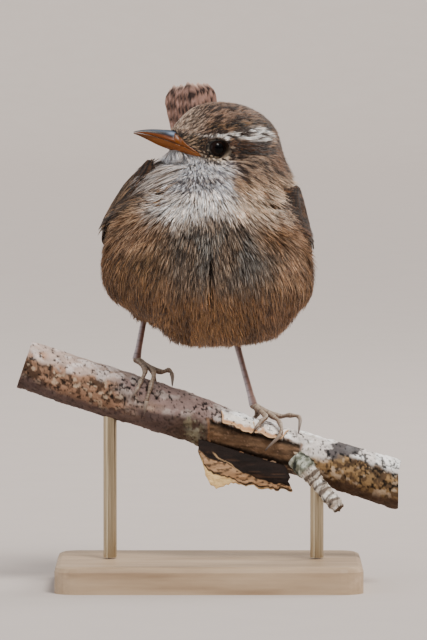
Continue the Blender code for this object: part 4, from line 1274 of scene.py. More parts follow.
def torso_surface(angle, height):
    left, right, front, back = look_up(TORSO_TABLE, height)
    c, s = np.cos(angle), np.sin(angle)
    x = np.sign(c) * np.abs(c) ** (2 / TORSO_ROUNDNESS)
    y = np.sign(s) * np.abs(s) ** (2 / TORSO_ROUNDNESS)
    return np.stack(
        ((left + right) / 2 + (right - left) / 2 * x, (front + back) / 2 + (back - front) / 2 * y, height),
        -1,
    )


def torso_place(angle_degrees, height, lift):
    angle = np.radians(angle_degrees)
    along = torso_surface(angle + 0.02, height) - torso_surface(angle - 0.02, height)
    rise = torso_surface(angle, height + 0.3) - torso_surface(angle, height - 0.3)
    return torso_surface(angle, height) + unit(np.cross(along, rise)) * lift[..., None]


def wing_place(side, along, across, lift):
    wing = WINGS[side]
    angle = wing["front"] + (wing["back"] - wing["front"]) * along
    fall = wing["front_height"] - wing["back_height"]
    middle = wing["front_height"] - fall * np.maximum(along, 0.0) ** 1.15
    height = middle + across * eased(WING_HALF_HEIGHTS, np.clip(along, 0, 1))
    return torso_place(angle, height, lift)


def tail_place(along, across, lift):
    axis = unit(TAIL_TIP - TAIL_ROOT)
    side = np.array((1.0, 0.0, 0.0))
    side = unit(side - axis * (axis @ side))
    up = np.cross(axis, side)
    length = np.linalg.norm(TAIL_TIP - TAIL_ROOT)
    bend = np.sin(math.pi * along) * TAIL_BEND
    return (
        TAIL_ROOT
        + (along * length)[..., None] * axis
        + across[..., None] * side
        - (lift + bend)[..., None] * up
    )


def wing_fullness(side, along, across):
    """How far the shoulder feathers push the front of a wing out."""
    share = smooth(-0.5, 0.5, across) * smooth(0.5, 0.12, along) * smooth(-0.08, 0.04, along)
    return (1.2 if side == "right" else 0.6) * share


def top_edge_sink(along, across):
    """How far the upper edge of a wing lies in toward the back."""
    return 1.5 * smooth(0.2, 0.9, across) * smooth(0.36, 0.6, along)


def wing_top(side, along, across):
    """How far the outer face of a wing stands over the body."""
    on = smooth(-0.1, 0.05, along) * smooth(1.3, 0.9, np.abs(across))
    full = 0.6 + 1.2 * smooth(0.0, 0.15, along) + wing_fullness(side, along, across)
    return full * on - top_edge_sink(along, across)


def build_shoulders(material):
    """Tufts that lap over the front and top edges of both wings."""
    rng = np.random.default_rng(8)
    grown_all = []
    for side in WINGS:
        side_sign = 1.0 if side == "left" else -1.0
        rows, columns = (15, 15) if coat_share < 1 else (23, 22)
        a, c = np.meshgrid(np.linspace(-0.22, 0.3, rows), np.linspace(-1.0, 1.16, columns), indexing="ij")
        a = a.ravel() + rng.normal(0, 0.012, a.size)
        c = c.ravel() + rng.normal(0, 0.05, c.size)
        inside = rng.random(a.size) > 0.8 * smooth(0.0, 0.14, a) * smooth(0.2, -0.2, c)
        if side == "left":
            inside &= ~((c > 0.3) & (a < -0.06)) & (c < 0.97)
        a, c = a[inside], c[inside]
        zero = np.zeros(len(a))
        root_lift = -0.5 + (wing_top(side, a, c) + 0.35) * smooth(-0.06, 0.06, a)
        span = wing_place(side, a + 0.05, c, zero) - wing_place(side, a - 0.05, c, zero)
        step = rng.uniform(4.2, 6.4, len(a)) / (np.linalg.norm(span, axis=1) / 0.1)
        lines, ups = [], []
        for k in range(GUIDE_STEPS + 1):
            t = k / GUIDE_STEPS
            drop = (0.75 - 0.3 * side_sign) * smooth(-0.7, 0.5, c)
            along, across = a + step * (t - 0.25 * t * t * smooth(-0.7, 0.5, c)), c - drop * t
            tip_lift = wing_top(side, a + step, across) + 0.3
            lift = root_lift + (np.maximum(tip_lift, wing_top(side, along, across) + 0.3) - root_lift) * t**0.6
            lines.append(wing_place(side, along, across, lift))
            ups.append(unit(wing_place(side, along, across, zero + 1.0) - wing_place(side, along, across, zero)))
        lines, ups = np.array(lines), np.array(ups)
        ways = unit(np.gradient(lines, axis=0))
        grown_all.append(grow((lines, ups, ways), lines[0], ups[0], SHOULDER_STYLE, rng))
    for side, grown in zip(WINGS, grown_all):
        coat_piece("coat_shoulder_" + side, grown, np.arange(len(grown[0])), material)


def vent_look(points):
    count = len(points)
    pale = smooth(-0.2, 0.5, noise(points, 2.0, 69))[:, None]
    light = linear(138, 102, 74) * (1 - pale) + linear(178, 142, 112) * pale
    return light, np.tile(linear(60, 42, 30), (count, 1)), np.full(count, 0.42)


def build_vent(material):
    """Tufts that run from the body below the tail up over the tail's root."""
    rng = np.random.default_rng(12)
    rows, columns = (6, 11) if coat_share < 1 else (9, 17)
    q, r = np.meshgrid(np.linspace(-1, 1, columns), np.linspace(0, 1, rows))
    q = q.ravel() + rng.normal(0, 0.05, q.size)
    r = r.ravel() + rng.normal(0, 0.05, r.size)
    zero = np.zeros(len(q))
    outer = -2.3 - 0.8 * (1 - r) + 1.6 * q * q
    start = torso_place(90 - 9 * q, 66.5 + 8.0 * r, zero - 0.4)
    bend = tail_place(-0.01 - 0.05 * (1 - r), 3.0 * q, outer + 0.5)
    end = tail_place(0.08 + 0.22 * r + rng.normal(0, 0.02, len(r)), 2.8 * q, outer)
    below = unit(torso_place(90 - 9 * q, 66.5 + 8.0 * r, zero + 0.6) - start)
    behind = unit(tail_place(zero + 0.1, 3.0 * q, outer - 1.0) - tail_place(zero + 0.1, 3.0 * q, outer))
    t = (np.arange(GUIDE_STEPS + 1) / GUIDE_STEPS)[:, None, None]
    lines = (1 - t) ** 2 * start + 2 * t * (1 - t) * bend + t * t * end
    ways = unit(np.gradient(lines, axis=0))
    ups = below * (1 - t) + behind * t
    ups = unit(ups - ways * np.sum(ups * ways, axis=-1, keepdims=True))
    style = {**SHOULDER_STYLE, "look": vent_look}
    grown = grow((lines, ups, ways), lines[0], ups[0], style, rng)
    coat_piece("coat_vent", grown, np.arange(len(grown[0])), material)


POINTED_TIP = ((0, 0.12, 0.45, 0.75, 0.9, 0.97, 1.0), (0.3, 0.62, 0.95, 1.0, 0.86, 0.58, 0.16))
BROAD_TIP = ((0, 0.15, 0.45, 0.7, 0.945, 0.98, 1.0), (0.3, 0.6, 0.9, 1.0, 1.0, 0.8, 0.35))


def vane(place, length, width, style, rng, rows=40, columns=8):
    """One feather: a thin closed blade with a raised shaft. place(share, offset, lift)."""
    share = np.linspace(0, 1, rows)
    outline = np.interp(share, *style.get("tip", POINTED_TIP))
    ragged = 1 + 0.05 * noise(np.stack((share * length, share * 0 + rng.random() * 90, share * 0), -1), 0.7)
    offset = np.linspace(-1, 1, columns + 1)
    half = width / 2 * outline * ragged
    across = offset[None, :] * half[:, None]
    shares = np.broadcast_to(share[:, None], across.shape)
    # The tip runs further at the shaft than at the edges.
    shares = shares - (0.5 * width / length) * (offset[None, :] ** 2) * smooth(0.55, 1.0, share)[:, None] * 0.5
    shaft = np.exp(-((across / 0.16) ** 2)) * 0.12 * (1 - 0.75 * share[:, None])
    lift = style["tilt"] * across - 0.05 * across**2 * style.get("cup", 1.0) + shaft
    thick = 0.09
    top = place(shares, across, lift + thick)
    low = place(shares, across, lift - shaft - thick)
    points = np.concatenate((top, low[:, ::-1]), 1)
    loop = points.shape[1]
    faces = grid_faces(rows, loop)
    v = shares * length
    spread = np.concatenate((across, across[:, ::-1]), 1)
    v = np.concatenate((v, v[:, ::-1]), 1)
    tint = style["colour"](v, spread, length, width / 2, rng)
    ends = np.array(
        [(k, loop - 1 - k, loop - 2 - k, k + 1) for k in range(columns)]
        + [
            ((rows - 1) * loop + k + 1, (rows - 1) * loop + loop - 2 - k, (rows - 1) * loop + loop - 1 - k, (rows - 1) * loop + k)
            for k in range(columns)
        ]
    )
    barbs = np.stack(((v - np.abs(spread) * 1.3) * 1.0, spread), -1)
    return points.reshape(-1, 3), np.concatenate((faces, ends)), tint.reshape(-1, 3), barbs.reshape(-1, 2)


def join_vanes(name, vanes, material, replaced):
    """All the vanes of a wing or of the tail as one piece, each on its own strip of the map."""
    points, faces, tints, barbs, corners = [], [], [], [], []
    start = 0
    across = math.ceil(math.sqrt(len(vanes) * 2.5))
    down = math.ceil(len(vanes) / across)
    for k, (p, q, tint, barb) in enumerate(vanes):
        cell = np.array((k % across, k // across)) / (across, down)
        low, high = barb.min(0), barb.max(0)
        size = np.array((1 / across, 1 / down))
        loop_spots = strip_spots(len(p), len(q))
        corners.append(cell + 0.02 * size + loop_spots * size * 0.96)
        points.append(p)
        faces.append(q + start)
        tints.append(tint)
        barbs.append(barb[q])
        start += len(p)
    faces = np.concatenate(faces)
    item = make_piece(
        name, np.concatenate(points), faces, material, np.concatenate(tints), np.concatenate(corners)
    )
    layer = item.data.uv_layers.new(name="Barbs")
    layer.data.foreach_set("uv", np.concatenate(barbs).astype(np.float32).ravel())
    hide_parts(*replaced)
    return item


def strip_spots(point_count, face_count, rows=40, columns=8):
    """Unrolled uv of one vane: its top on the left half and its underside on the right."""
    loop = 2 * (columns + 1)
    corners = grid_corners(rows, loop)[:, :, :]
    ends = np.zeros((2 * columns, 4, 2))
    for k in range(2 * columns):
        u = 0.01 + 0.9 * k / (2 * columns)
        v = 0.0 if k < columns else 0.992
        ends[k] = ((u, v), (u + 0.04, v), (u + 0.04, v + 0.006), (u, v + 0.006))
    return np.concatenate((ends[:0], corners, ends))


def flight_colour(base, bar, period, tip=None, edge=None, loose=1.0, patchy=0.0):
    """Colours of a barred flight feather. v runs along it and s across it."""

    def paint(v, s, length, half, rng):
        phase = rng.uniform(0, period) * loose
        slant = np.abs(s) * 0.35
        stray = (0.5 + patchy) * noise(np.stack((v, s * 2, v * 0 + phase), -1), 1.3)
        wave = np.sin((v + phase - slant) / period * 2 * math.pi + stray) - 0.5 * patchy * noise(np.stack((v, s * 2, v * 0 - phase), -1), 2.1)
        dark = smooth(-0.3, 0.15, wave)[..., None] * 0.92
        colour = base * (1 - dark) + bar * dark
        colour = colour * (1 + 0.12 * noise(np.stack((v * 0.4, s * 7, v * 0), -1), 1.0))[..., None]
        colour = colour * (1 + 0.22 * noise(np.stack((v, s * 2, v * 0 + 5 * phase), -1), 1.5))[..., None]
        shaft = np.exp(-((s / 0.13) ** 2))[..., None]
        colour = colour * (1 - 0.55 * shaft)
        if edge is not None:
            rim = smooth(0.72, 0.98, np.abs(s) / half)[..., None] * 0.7
            colour = colour * (1 - rim) + edge * rim
        if tip is not None:
            end = smooth(length - 1.1, length - 0.25, v)[..., None] * 0.85
            colour = colour * (1 - end) + tip * end
        return colour * math.exp(rng.normal(0, 0.08))

    return paint


def build_wing(side, material):
    rng = np.random.default_rng(5 if side == "right" else 6)
    vanes = []
    deep = 1.0 if side == "right" else np.array((0.5, 0.45, 0.38))
    brown, black, rufous = linear(78, 54, 36) * deep, linear(20, 14, 11), linear(98, 64, 39) * deep
    pale, buff = linear(170, 138, 104) * deep, linear(160, 124, 84) * deep
    cover_base, cover_bar = linear(74, 51, 34) * deep, linear(23, 16, 12)
    tiers = (
        # count, root, fall, tip, fall, low, high, root lift, tip lift, width, more, colours
        (10, 0.34, 0.03, 1.0, 0.16, -0.78, -0.05, 0.3, 0.5, 2.3, 0.3, flight_colour(buff, black, 2.3, edge=brown)),
        (9, 0.36, 0.04, 0.88, 0.24, -0.1, 0.86, 0.4, 0.75, 3.0, 0.5, flight_colour(rufous, black, 1.9, edge=linear(112, 74, 44))),
        (12, 0.2, 0.03, 0.52, 0.06, -0.8, 0.84, 0.5, 1.15, 2.2, 0.4, flight_colour(cover_base, cover_bar, 2.2, tip=pale)),
        (11, 0.1, 0.02, 0.35, 0.03, -0.78, 0.82, 0.5, 1.4, 2.1, 0.3, flight_colour(cover_base, cover_bar, 2.0, tip=linear(232, 222, 208))),
        (10, 0.02, 0.0, 0.22, 0.02, -0.66, 0.7, 0.45, 1.55, 2.0, 0.3, flight_colour(cover_base, cover_bar, 1.8)),
        (9, -0.05, 0.0, 0.13, 0.02, -0.52, 0.52, 0.35, 1.4, 1.9, 0.2, flight_colour(cover_base, cover_bar, 1.8)),
    )
    for number, (count, root, root_fall, tip, tip_fall, low, high, up0, up1, width, more, paint) in enumerate(tiers):
        for k in range(count):
            q = k / (count - 1)
            middle = low + (high - low) * q + rng.normal(0, 0.012)
            start, end = root - root_fall * q, tip - tip_fall * q**1.2 + rng.normal(0, 0.006)
            stack = 0.05 * k if number < 2 else 0.03 * (k % 3)

            def place(share, across, lift, start=start, end=end, middle=middle, up0=up0, up1=up1, stack=stack):
                along = start + (end - start) * share
                half = eased(WING_HALF_HEIGHTS, np.clip(along, 0, 1))
                rise = up0 + (up1 - up0) * np.minimum(1.0, share * 1.6) + stack
                rise = rise + 0.3 + wing_fullness(side, along, middle)
                rise = rise - 1.5 * smooth(0.5, 0.95, along) - top_edge_sink(along, middle)
                return wing_place(side, along, middle + across / half, rise + lift)

            span = place(np.array((0.0, 1.0)), np.zeros(2), np.zeros(2))
            length = float(np.linalg.norm(span[1] - span[0])) * 1.15
            style = {"tilt": 0.2, "colour": paint, "cup": 1.4}
            vanes.append(vane(place, length, width + more * q, style, rng))
    return join_vanes("wing_" + side + "_vanes", vanes, material, ["wing_" + side])


def build_tail(material):
    rng = np.random.default_rng(9)
    vanes = []
    rufous, black = linear(144, 112, 100), linear(26, 17, 16)
    pinkish = linear(214, 182, 166)
    for index in range(6):
        for sign in (1, -1):
            offset = sign * (0.45 + (0.68 if sign > 0 else 0.8) * index)
            level = -0.33 * index - (0.16 if sign > 0 else 0.0)
            reach = 0.985 - 0.014 * (index % 2) + rng.normal(0, 0.005)

            def place(share, across, lift, offset=offset, level=level, reach=reach):
                along = 0.02 + (reach - 0.02) * share
                fan = 0.3 + 0.7 * np.minimum(1.0, along * 1.15)
                return tail_place(along, offset * fan + across, level + lift)

            paint = flight_colour(rufous, black, 2.9, pinkish, linear(140, 104, 88), 0.6, 0.9)
            style = {"tilt": -sign * 0.12, "colour": paint, "cup": 0.8, "tip": BROAD_TIP}
            vanes.append(vane(place, 35.0 * reach, 3.4, style, rng))
    covert = flight_colour(linear(150, 98, 70), linear(70, 44, 34), 1.8)
    under = flight_colour(linear(142, 110, 88), linear(56, 40, 32), 2.1, tip=linear(206, 188, 170))
    tiers = ((7, 0.42, 0.75, 3.0, 2.6, covert), (6, 0.3, 1.05, 3.2, 2.6, covert), (7, 0.46, -2.3, 3.0, 2.8, under), (6, 0.34, -2.6, 3.2, 2.8, under))
    for count, far, lift_to, spread, width, paint in tiers:
        for k in range(count):
            q = 2 * k / (count - 1) - 1

            def place(share, across, lift, q=q, far=far, lift_to=lift_to, spread=spread):
                along = far * (0.06 + 0.94 * share) * (1 - 0.12 * abs(q))
                level = (lift_to - 0.4 * abs(q)) * (0.35 + 0.65 * np.minimum(1.0, share * 1.6))
                return tail_place(along, spread * q * (0.5 + 0.5 * share) + across, level + lift)

            style = {"tilt": -0.1 * q, "colour": paint, "cup": 0.9}
            vanes.append(vane(place, 35.0 * far, width, style, rng))
    return join_vanes("tail_vanes", vanes, material, ["tail"])


# ---- bill, eyes and legs ----


def gape_lip(surface, side, upper):
    """The soft rim of the mouth, from the side of the bill back to its corner under the eye."""
    rows, columns = 60, 12
    f = np.linspace(12.3, 6.32, rows)[:, None] * np.ones((1, columns))
    top, mouth, bottom = look_up(np.array(GAPE_LINE), f)
    far = top if upper else bottom
    b = np.linspace(0.03, 1.0, columns)[None, :]
    u = mouth + (far - mouth) * b
    bill_mouth, ridge, keel, half = look_up(BILL_TABLE, np.clip(f, 7.0, 21.5))
    reach = (ridge if upper else keel) - bill_mouth
    share = np.clip((u - bill_mouth) / reach, 0.0, 0.98)
    bill_side = half * np.sqrt(1 - share**2) * smooth(9.0, 10.0, f)
    face_side = np.zeros_like(f)
    for index in np.ndindex(f.shape):
        start = from_head(f[index], np.float64(side * 12.0), u[index])
        hit = surface.tree.ray_cast(Vector(start), Vector(-side * SIDEWAYS))[0]
        if hit is not None:
            face_side[index] = abs(to_head(np.array(hit)[None])[0, 1])
    smoothing = np.array((0.25, 0.5, 0.25))
    for _ in range(3):
        padded = np.pad(face_side, ((1, 1), (0, 0)), "edge")
        face_side = sum(padded[k : k + rows] * smoothing[k] for k in range(3))
    swell = 0.2 + 0.26 * np.sin(math.pi * (0.12 + 0.76 * b)) * smooth(12.3, 10.5, f)
    s = np.maximum(bill_side, face_side) + swell * smooth(6.2, 7.0, f)
    outer = from_head(f, side * s, u)
    inner = from_head(f, side * (s - 0.7), u)
    # Painted shade: darker toward the mouth line, and the inner face at half brightness.
    shade = 1 - 0.5 * smooth(0.22, 0.0, b) * np.ones_like(f)
    streak = 1 + 0.16 * noise(outer * (1, 1, 2.2), 0.7, 19)
    back = smooth(10.0, 6.6, f)[..., None] * 0.55
    colour = linear(108, 57, 6) * (1 - back) + linear(138, 80, 16) * back
    colour = colour * (shade * streak)[..., None]
    ring = np.concatenate((outer, inner[:, ::-1]), 1)
    return ring, np.concatenate((colour, colour[:, ::-1] * 0.5), 1)


def build_bill(surface, material):
    """Both halves of the bill, finely lofted, with a nostril groove and a keeled ridge."""
    rows, arc = 90, 28
    f = 7.0 + 14.5 * np.linspace(0, 1, rows) ** 0.85
    mouth, ridge, keel, half = (value[:, None] for value in look_up(BILL_TABLE, f))
    angle = np.linspace(0, math.pi, arc + 1)[None, :]
    for upper in (True, False):
        sign = 1 if upper else -1
        edge = mouth + sign * 0.05
        far = ridge if upper else keel
        c, s = np.cos(angle), np.sin(angle)
        across = half * np.sign(c) * np.abs(c) ** (0.85 if upper else 1.0)
        up = edge + (far - edge) * s ** (1.15 if upper else 1.0)
        if upper:
            groove = np.exp(-(((f[:, None] - 12.6) / 2.1) ** 2) - ((up + 0.75) / 0.5) ** 2)
            slit = np.exp(-(((f[:, None] - 12.9) / 0.8) ** 2) - ((up + 0.95) / 0.16) ** 2)
            across = across * (1 - 0.16 * groove - 0.22 * slit)
        tip_round = np.ones_like(up)
        points = from_head(f[:, None] * tip_round, across, up)
        under = from_head(f[:, None] * np.ones((1, 5)), half * np.linspace(-0.9, 0.9, 5)[None, :], edge * np.ones((1, 5)))
        ring = np.concatenate((points, under), 1)
        columns = ring.shape[1]
        faces = grid_faces(rows, columns)
        if upper:
            faces = faces[:, ::-1]
        height = (up - edge) / (far - edge + sign * 1e-6)
        spots = from_head(f[:, None] * tip_round, across * 3, up * 2)
        streak = noise(np.stack((f[:, None] * 0.25 + 0 * up, up * 2.4, 0 * up), -1), 0.6, 3)
        amber, slate = linear(102, 49, 3), linear(7, 9, 14)
        dark_brown = linear(30, 16, 8)
        if upper:
            top = smooth(0.36, 0.52, height + 0.06 * streak)[..., None]
            colour = amber * (1 - top) + slate * top
            # Painted highlight: a pale blue reflection along the ridge, strongest over the nostril near the base.
            painted_highlight = np.exp(-(((height - 0.84) / 0.1) ** 2)) * smooth(21.0, 17.0, f[:, None])
            painted_highlight = np.maximum(painted_highlight * 0.25, 0.8 * np.exp(-(((f[:, None] - 12.6) / 1.2) ** 2) - ((height - 0.7) / 0.16) ** 2))
            colour = colour * (1 - 0.8 * painted_highlight[..., None]) + linear(164, 184, 214) * 0.8 * painted_highlight[..., None]
            # Painted shade: the nostril slit is darkened, and a dark brown band runs along the mouth line where the
            # halves meet.
            colour = colour * (1 - 0.85 * slit[..., None])
            line = smooth(0.16, 0.02, height)[..., None] * 0.6
            colour = colour * (1 - line) + dark_brown * line
        else:
            tip = smooth(15.0, 21.0, f)[:, None, None]
            colour = np.broadcast_to(linear(112, 61, 7), (*up.shape, 3)) * (1 - 0.45 * tip)
            # Painted shade along the mouth line where the halves meet.
            line = smooth(0.25, 0.0, height)[..., None] * 0.45
            colour = colour * (1 - line) + dark_brown * line
        colour = colour * (1 + 0.16 * streak[..., None])
        tint = np.concatenate((colour, np.broadcast_to(dark_brown, (rows, 5, 3))), 1)
        points_all, tint = ring.reshape(-1, 3), tint.reshape(-1, 3)
        corners = grid_corners(rows, columns) * (1.0, 0.5)
        for side in (1, -1):
            lip, lip_tint = gape_lip(surface, side, upper)
            lip_faces = grid_faces(*lip.shape[:2], offset=len(points_all))
            lip_corners = grid_corners(*lip.shape[:2]) * (1.0, 0.22) + (0.0, 0.52 if side > 0 else 0.76)
            points_all = np.concatenate((points_all, lip.reshape(-1, 3)))
            tint = np.concatenate((tint, lip_tint.reshape(-1, 3)))
            faces = np.concatenate((faces, lip_faces))
            corners = np.concatenate((corners, lip_corners))
        name = "bill_upper_horn" if upper else "bill_lower_horn"
        item = make_piece(name, points_all, faces, material, tint, corners)
        close_ends(item)
        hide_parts("bill_upper" if upper else "bill_lower")


def close_ends(item):
    """Fills the open rims of a lofted piece."""
    bm = bmesh.new()
    bm.from_mesh(item.data)
    rims = [edge for edge in bm.edges if edge.is_boundary]
    bmesh.ops.holes_fill(bm, edges=rims, sides=0)
    bmesh.ops.recalc_face_normals(bm, faces=bm.faces)
    bm.to_mesh(item.data)
    bm.free()
    item.data.shade_smooth()


def build_eyes(material):
    for name, side in (("left", 1), ("right", -1)):
        rows, columns = 40, 64
        polar = np.linspace(0.02, math.pi - 0.02, rows)[:, None]
        around = np.linspace(0, 2 * math.pi, columns + 1)[:-1][None, :]
        # A slightly fuller cornea stands over the iris.
        bulge = 1.0 + 0.035 * np.exp(-((polar / 0.55) ** 2))
        radius = EYE_RADIUS * bulge
        f = EYE_PLACE[0] + radius * np.sin(polar) * np.cos(around)
        u = EYE_PLACE[2] + radius * np.sin(polar) * np.sin(around)
        s = side * (EYE_PLACE[1] - 0.02 + radius * np.cos(polar) * np.ones_like(around))
        points = from_head(f, s, u)
        ring = EYE_RADIUS * np.sin(polar) * np.ones_like(around)
        iris_spots = np.stack((np.cos(around) * 9 + ring, np.sin(around) * 9 + 0 * ring, ring * 1.5), -1)
        pupil = smooth(1.22, 1.05, ring)[..., None]
        fibre = 1 + 0.35 * noise(iris_spots, 1.0)
        iris = linear(24, 14, 10) * fibre[..., None] * (1 - 0.5 * smooth(1.75, 2.0, ring))[..., None]
        colour = iris * (1 - pupil) + linear(3, 3, 4) * pupil
        faces = grid_faces(rows, columns)
        if side > 0:
            faces = faces[:, ::-1]
        item = make_piece("eye_" + name + "_ball", points.reshape(-1, 3), faces, material, colour.reshape(-1, 3), grid_corners(rows, columns))
        close_ends(item)
        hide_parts("eye_" + name)


def tube(points, radii, sides, shape=None):
    """Rings of points round a line. shape(ring place 0 to 1, angle, radius) may change the radius."""
    points = np.asarray(points, float)
    tangent = unit(np.gradient(points, axis=0))
    reference = np.array((0.0, 1.0, 0.0))
    first = unit(np.cross(tangent, reference))
    second = np.cross(tangent, first)
    angle = np.linspace(0, 2 * math.pi, sides + 1)[:-1][None, :]
    radius = np.asarray(radii)[:, None] * np.ones_like(angle)
    if shape is not None:
        radius = shape(np.linspace(0, 1, len(points))[:, None], angle, radius)
    return (
        points[:, None]
        + first[:, None] * (np.cos(angle) * radius)[..., None]
        + second[:, None] * (np.sin(angle) * radius)[..., None]
    )


def perch_frame(x):
    height, radius = look_up(PERCH_TABLE, x)
    ahead, _ = look_up(PERCH_TABLE, x + 1.0)
    slope = unit(np.stack((np.ones_like(x), 0 * x, ahead - height), -1))
    up = np.stack((-slope[..., 2], 0 * x, slope[..., 0]), -1)
    return height, radius, up


def perch_place(x, angle_degrees, lift):
    """A place over the perch: 0 degrees is its top and 90 its front."""
    x, angle_degrees, lift = np.broadcast_arrays(*(np.asarray(v, float) for v in (x, angle_degrees, lift)))
    height, radius, up = perch_frame(x)
    turn = np.radians(angle_degrees)[..., None]
    out = up * np.cos(turn) + np.array((0.0, -1.0, 0.0)) * np.sin(turn)
    centre = np.stack((x, 0 * x, height), -1)
    return centre + out * (radius * 1.03 + lift)[..., None]


def leg_tint(height_share, top, noise_value):
    base = linear(118, 92, 88)
    pale = linear(168, 156, 160)
    return base * (1 - top) + pale * top + 0 * height_share * noise_value


def build_legs(material, claw_material):
    for side, toes in TOES.items():
        joint = np.array(TOE_JOINTS[side])
        heel = np.array(HEELS[side])
        parts = []
        # Shank: flattened at the sides, with a row of broad scutes down its front.
        count = 110
        share = np.linspace(0, 1, count)
        line = heel[None] + (joint - heel)[None] * share[:, None]
        line = line + np.array((0.0, -0.25, 0.0)) * np.sin(math.pi * share)[:, None]
        radius = np.interp(share, (0, 0.1, 0.5, 0.85, 1.0), (1.05, 0.82, 0.7, 0.78, 1.02))
        length = float(np.linalg.norm(joint - heel))
        scutes = length / 1.55

        def scuted(place, angle, radius, scutes=scutes):
            facing = smooth(-0.2, 0.7, np.sin(angle) * -1.0)
            step = (place * scutes) % 1.0
            lip = (1 - step) ** 2 * 0.11 * smooth(0.0, 0.12, step)
            ridge = 0.06 * np.cos(angle) ** 2
            return radius * (1 - ridge) + facing * (lip - 0.02)

        rings = tube(line, radius, 24, scuted)
        step = (share * scutes) % 1.0
        shade = 1 - 0.45 * smooth(0.82, 0.98, step) + 0.0 * share
        blotch = rough_noise(rings, 0.8, 4)
        # Painted highlight: the side of the shank toward -x is paled toward a bluish white.
        front = smooth(-0.3, 0.9, -unit(rings - line[:, None])[..., 0])
        colour = linear(112, 78, 66) * (1 - front[..., None] * 0.8) + linear(184, 176, 182) * front[..., None] * 0.8
        colour = colour * (shade[:, None] * (1 + 0.14 * blotch))[..., None]
        parts.append((rings, colour, "shank"))
        for number, toe in enumerate(toes):
            marks = [joint] + [perch_place(joint[0] + x, angle, 0.84 + lift) for x, angle, lift in toe]
            marks = np.array(marks)
            last = len(marks) - 1
            steps = np.linspace(0, last, 96)
            path = catmull(marks, steps)
            claw_from = last - 1.0
            toe_share = np.clip(steps / claw_from, 0, 1)
            knuckles = 0.09 * np.cos(2 * math.pi * steps) * (steps < claw_from)
            radius = np.interp(toe_share, (0, 0.25, 1.0), (0.76, 0.55, 0.42)) + knuckles
            on_toe = steps <= claw_from + 0.12
            toe_path, toe_radius = path[on_toe], radius[on_toe].copy()
            fade = smooth(claw_from + 0.12, claw_from - 0.08, steps[on_toe])
            toe_radius = toe_radius * (0.55 + 0.45 * fade)
            total = np.sum(np.linalg.norm(np.diff(toe_path, axis=0), axis=1))
            plates = max(4.0, total / 0.75)

            def plated(place, angle, radius, plates=plates):
                step = (place * plates) % 1.0
                return radius * (1 + 0.10 * (1 - step) ** 2 * smooth(0.0, 0.15, step))

            rings = tube(toe_path, toe_radius, 20, plated)
            step = (np.linspace(0, 1, len(toe_path)) * plates) % 1.0
            shade = 1 - 0.68 * smooth(0.74, 0.95, step)
            out = unit(rings - toe_path[:, None])
            lit = smooth(-0.2, 0.9, out[..., 2])[..., None]
            colour = linear(100, 76, 58) * (1 - lit * 0.6) + linear(184, 166, 146) * lit * 0.6
            colour = colour * (shade[:, None] * (1 + 0.14 * rough_noise(rings, 0.7, 8)))[..., None]
            parts.append((rings, colour, "toe"))
            # Claw: curved, deep at its base and fine at its tip.
            on_claw = steps >= claw_from - 0.05
            claw_path = path[on_claw]
            q = np.linspace(0, 1, len(claw_path))
            toward = unit(claw_path[-1] - claw_path[0])
            away = unit(claw_path[0] - np.array((claw_path[0][0], 0.0, perch_frame(claw_path[0][:1])[0][0])))
            away = unit(away - toward * (away @ toward))
            claw_path = claw_path + away[None] * (np.sin(math.pi * q) * 0.45)[:, None]
            claw_radius = 0.44 * (1 - q) ** 0.75 + 0.05
            rings = tube(claw_path, claw_radius, 16)
            colour = linear(148, 130, 114) * (1 - q[:, None]) + linear(66, 60, 60) * q[:, None]
            colour = colour[:, None] * (1 + 0.15 * noise(rings, 0.5, 2))[..., None]
            parts.append((rings, colour, "claw"))
        groups = {
            "shank": ("shank_" + side + "_scutes", material, "leg", ["shank_" + side]),
            "toe": ("foot_" + side + "_toes", material, "leg", ["foot_" + side]),
            "claw": ("foot_" + side + "_claws", claw_material, "leg", []),
        }
        for kind, (name, matter, slot, nodes) in groups.items():
            chosen = [part for part in parts if part[2] == kind]
            points, faces, tints, corners, start = [], [], [], [], 0
            for k, (rings, colour, _) in enumerate(chosen):
                rows, sides = rings.shape[:2]
                points.append(rings.reshape(-1, 3))
                faces.append(grid_faces(rows, sides, offset=start))
                tints.append(np.broadcast_to(colour, rings.shape).reshape(-1, 3))
                spots = grid_corners(rows, sides) * (1 / len(chosen), 1.0) + (k / len(chosen), 0.0)
                corners.append(spots)
                start += rows * sides
            item = make_piece(name, np.concatenate(points), np.concatenate(faces), matter, np.concatenate(tints), np.concatenate(corners))
            close_ends(item)
            if nodes:
                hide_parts(*nodes)


# ---- perch and stand ----


def perch_turn(points):
    """The angle of each place round the perch: 0 is its top and 90 its front."""
    height, _, _ = perch_frame(points[:, 0])
    return np.degrees(np.arctan2(-points[:, 1], points[:, 2] - height))


def peeled(points):
    """Where the bark has come off the lower front of the perch."""
    ragged = rough_noise(points, 3.2, 21)
    along = smooth(11.0, 9.0, np.abs(points[:, 0] - 10.3) + 0.9 * ragged)
    turn = perch_turn(points) + 0.9 * (points[:, 0] - 10.0)
    return along * smooth(45.0, 37.0, np.abs(turn - 107.0) + 7.0 * ragged)


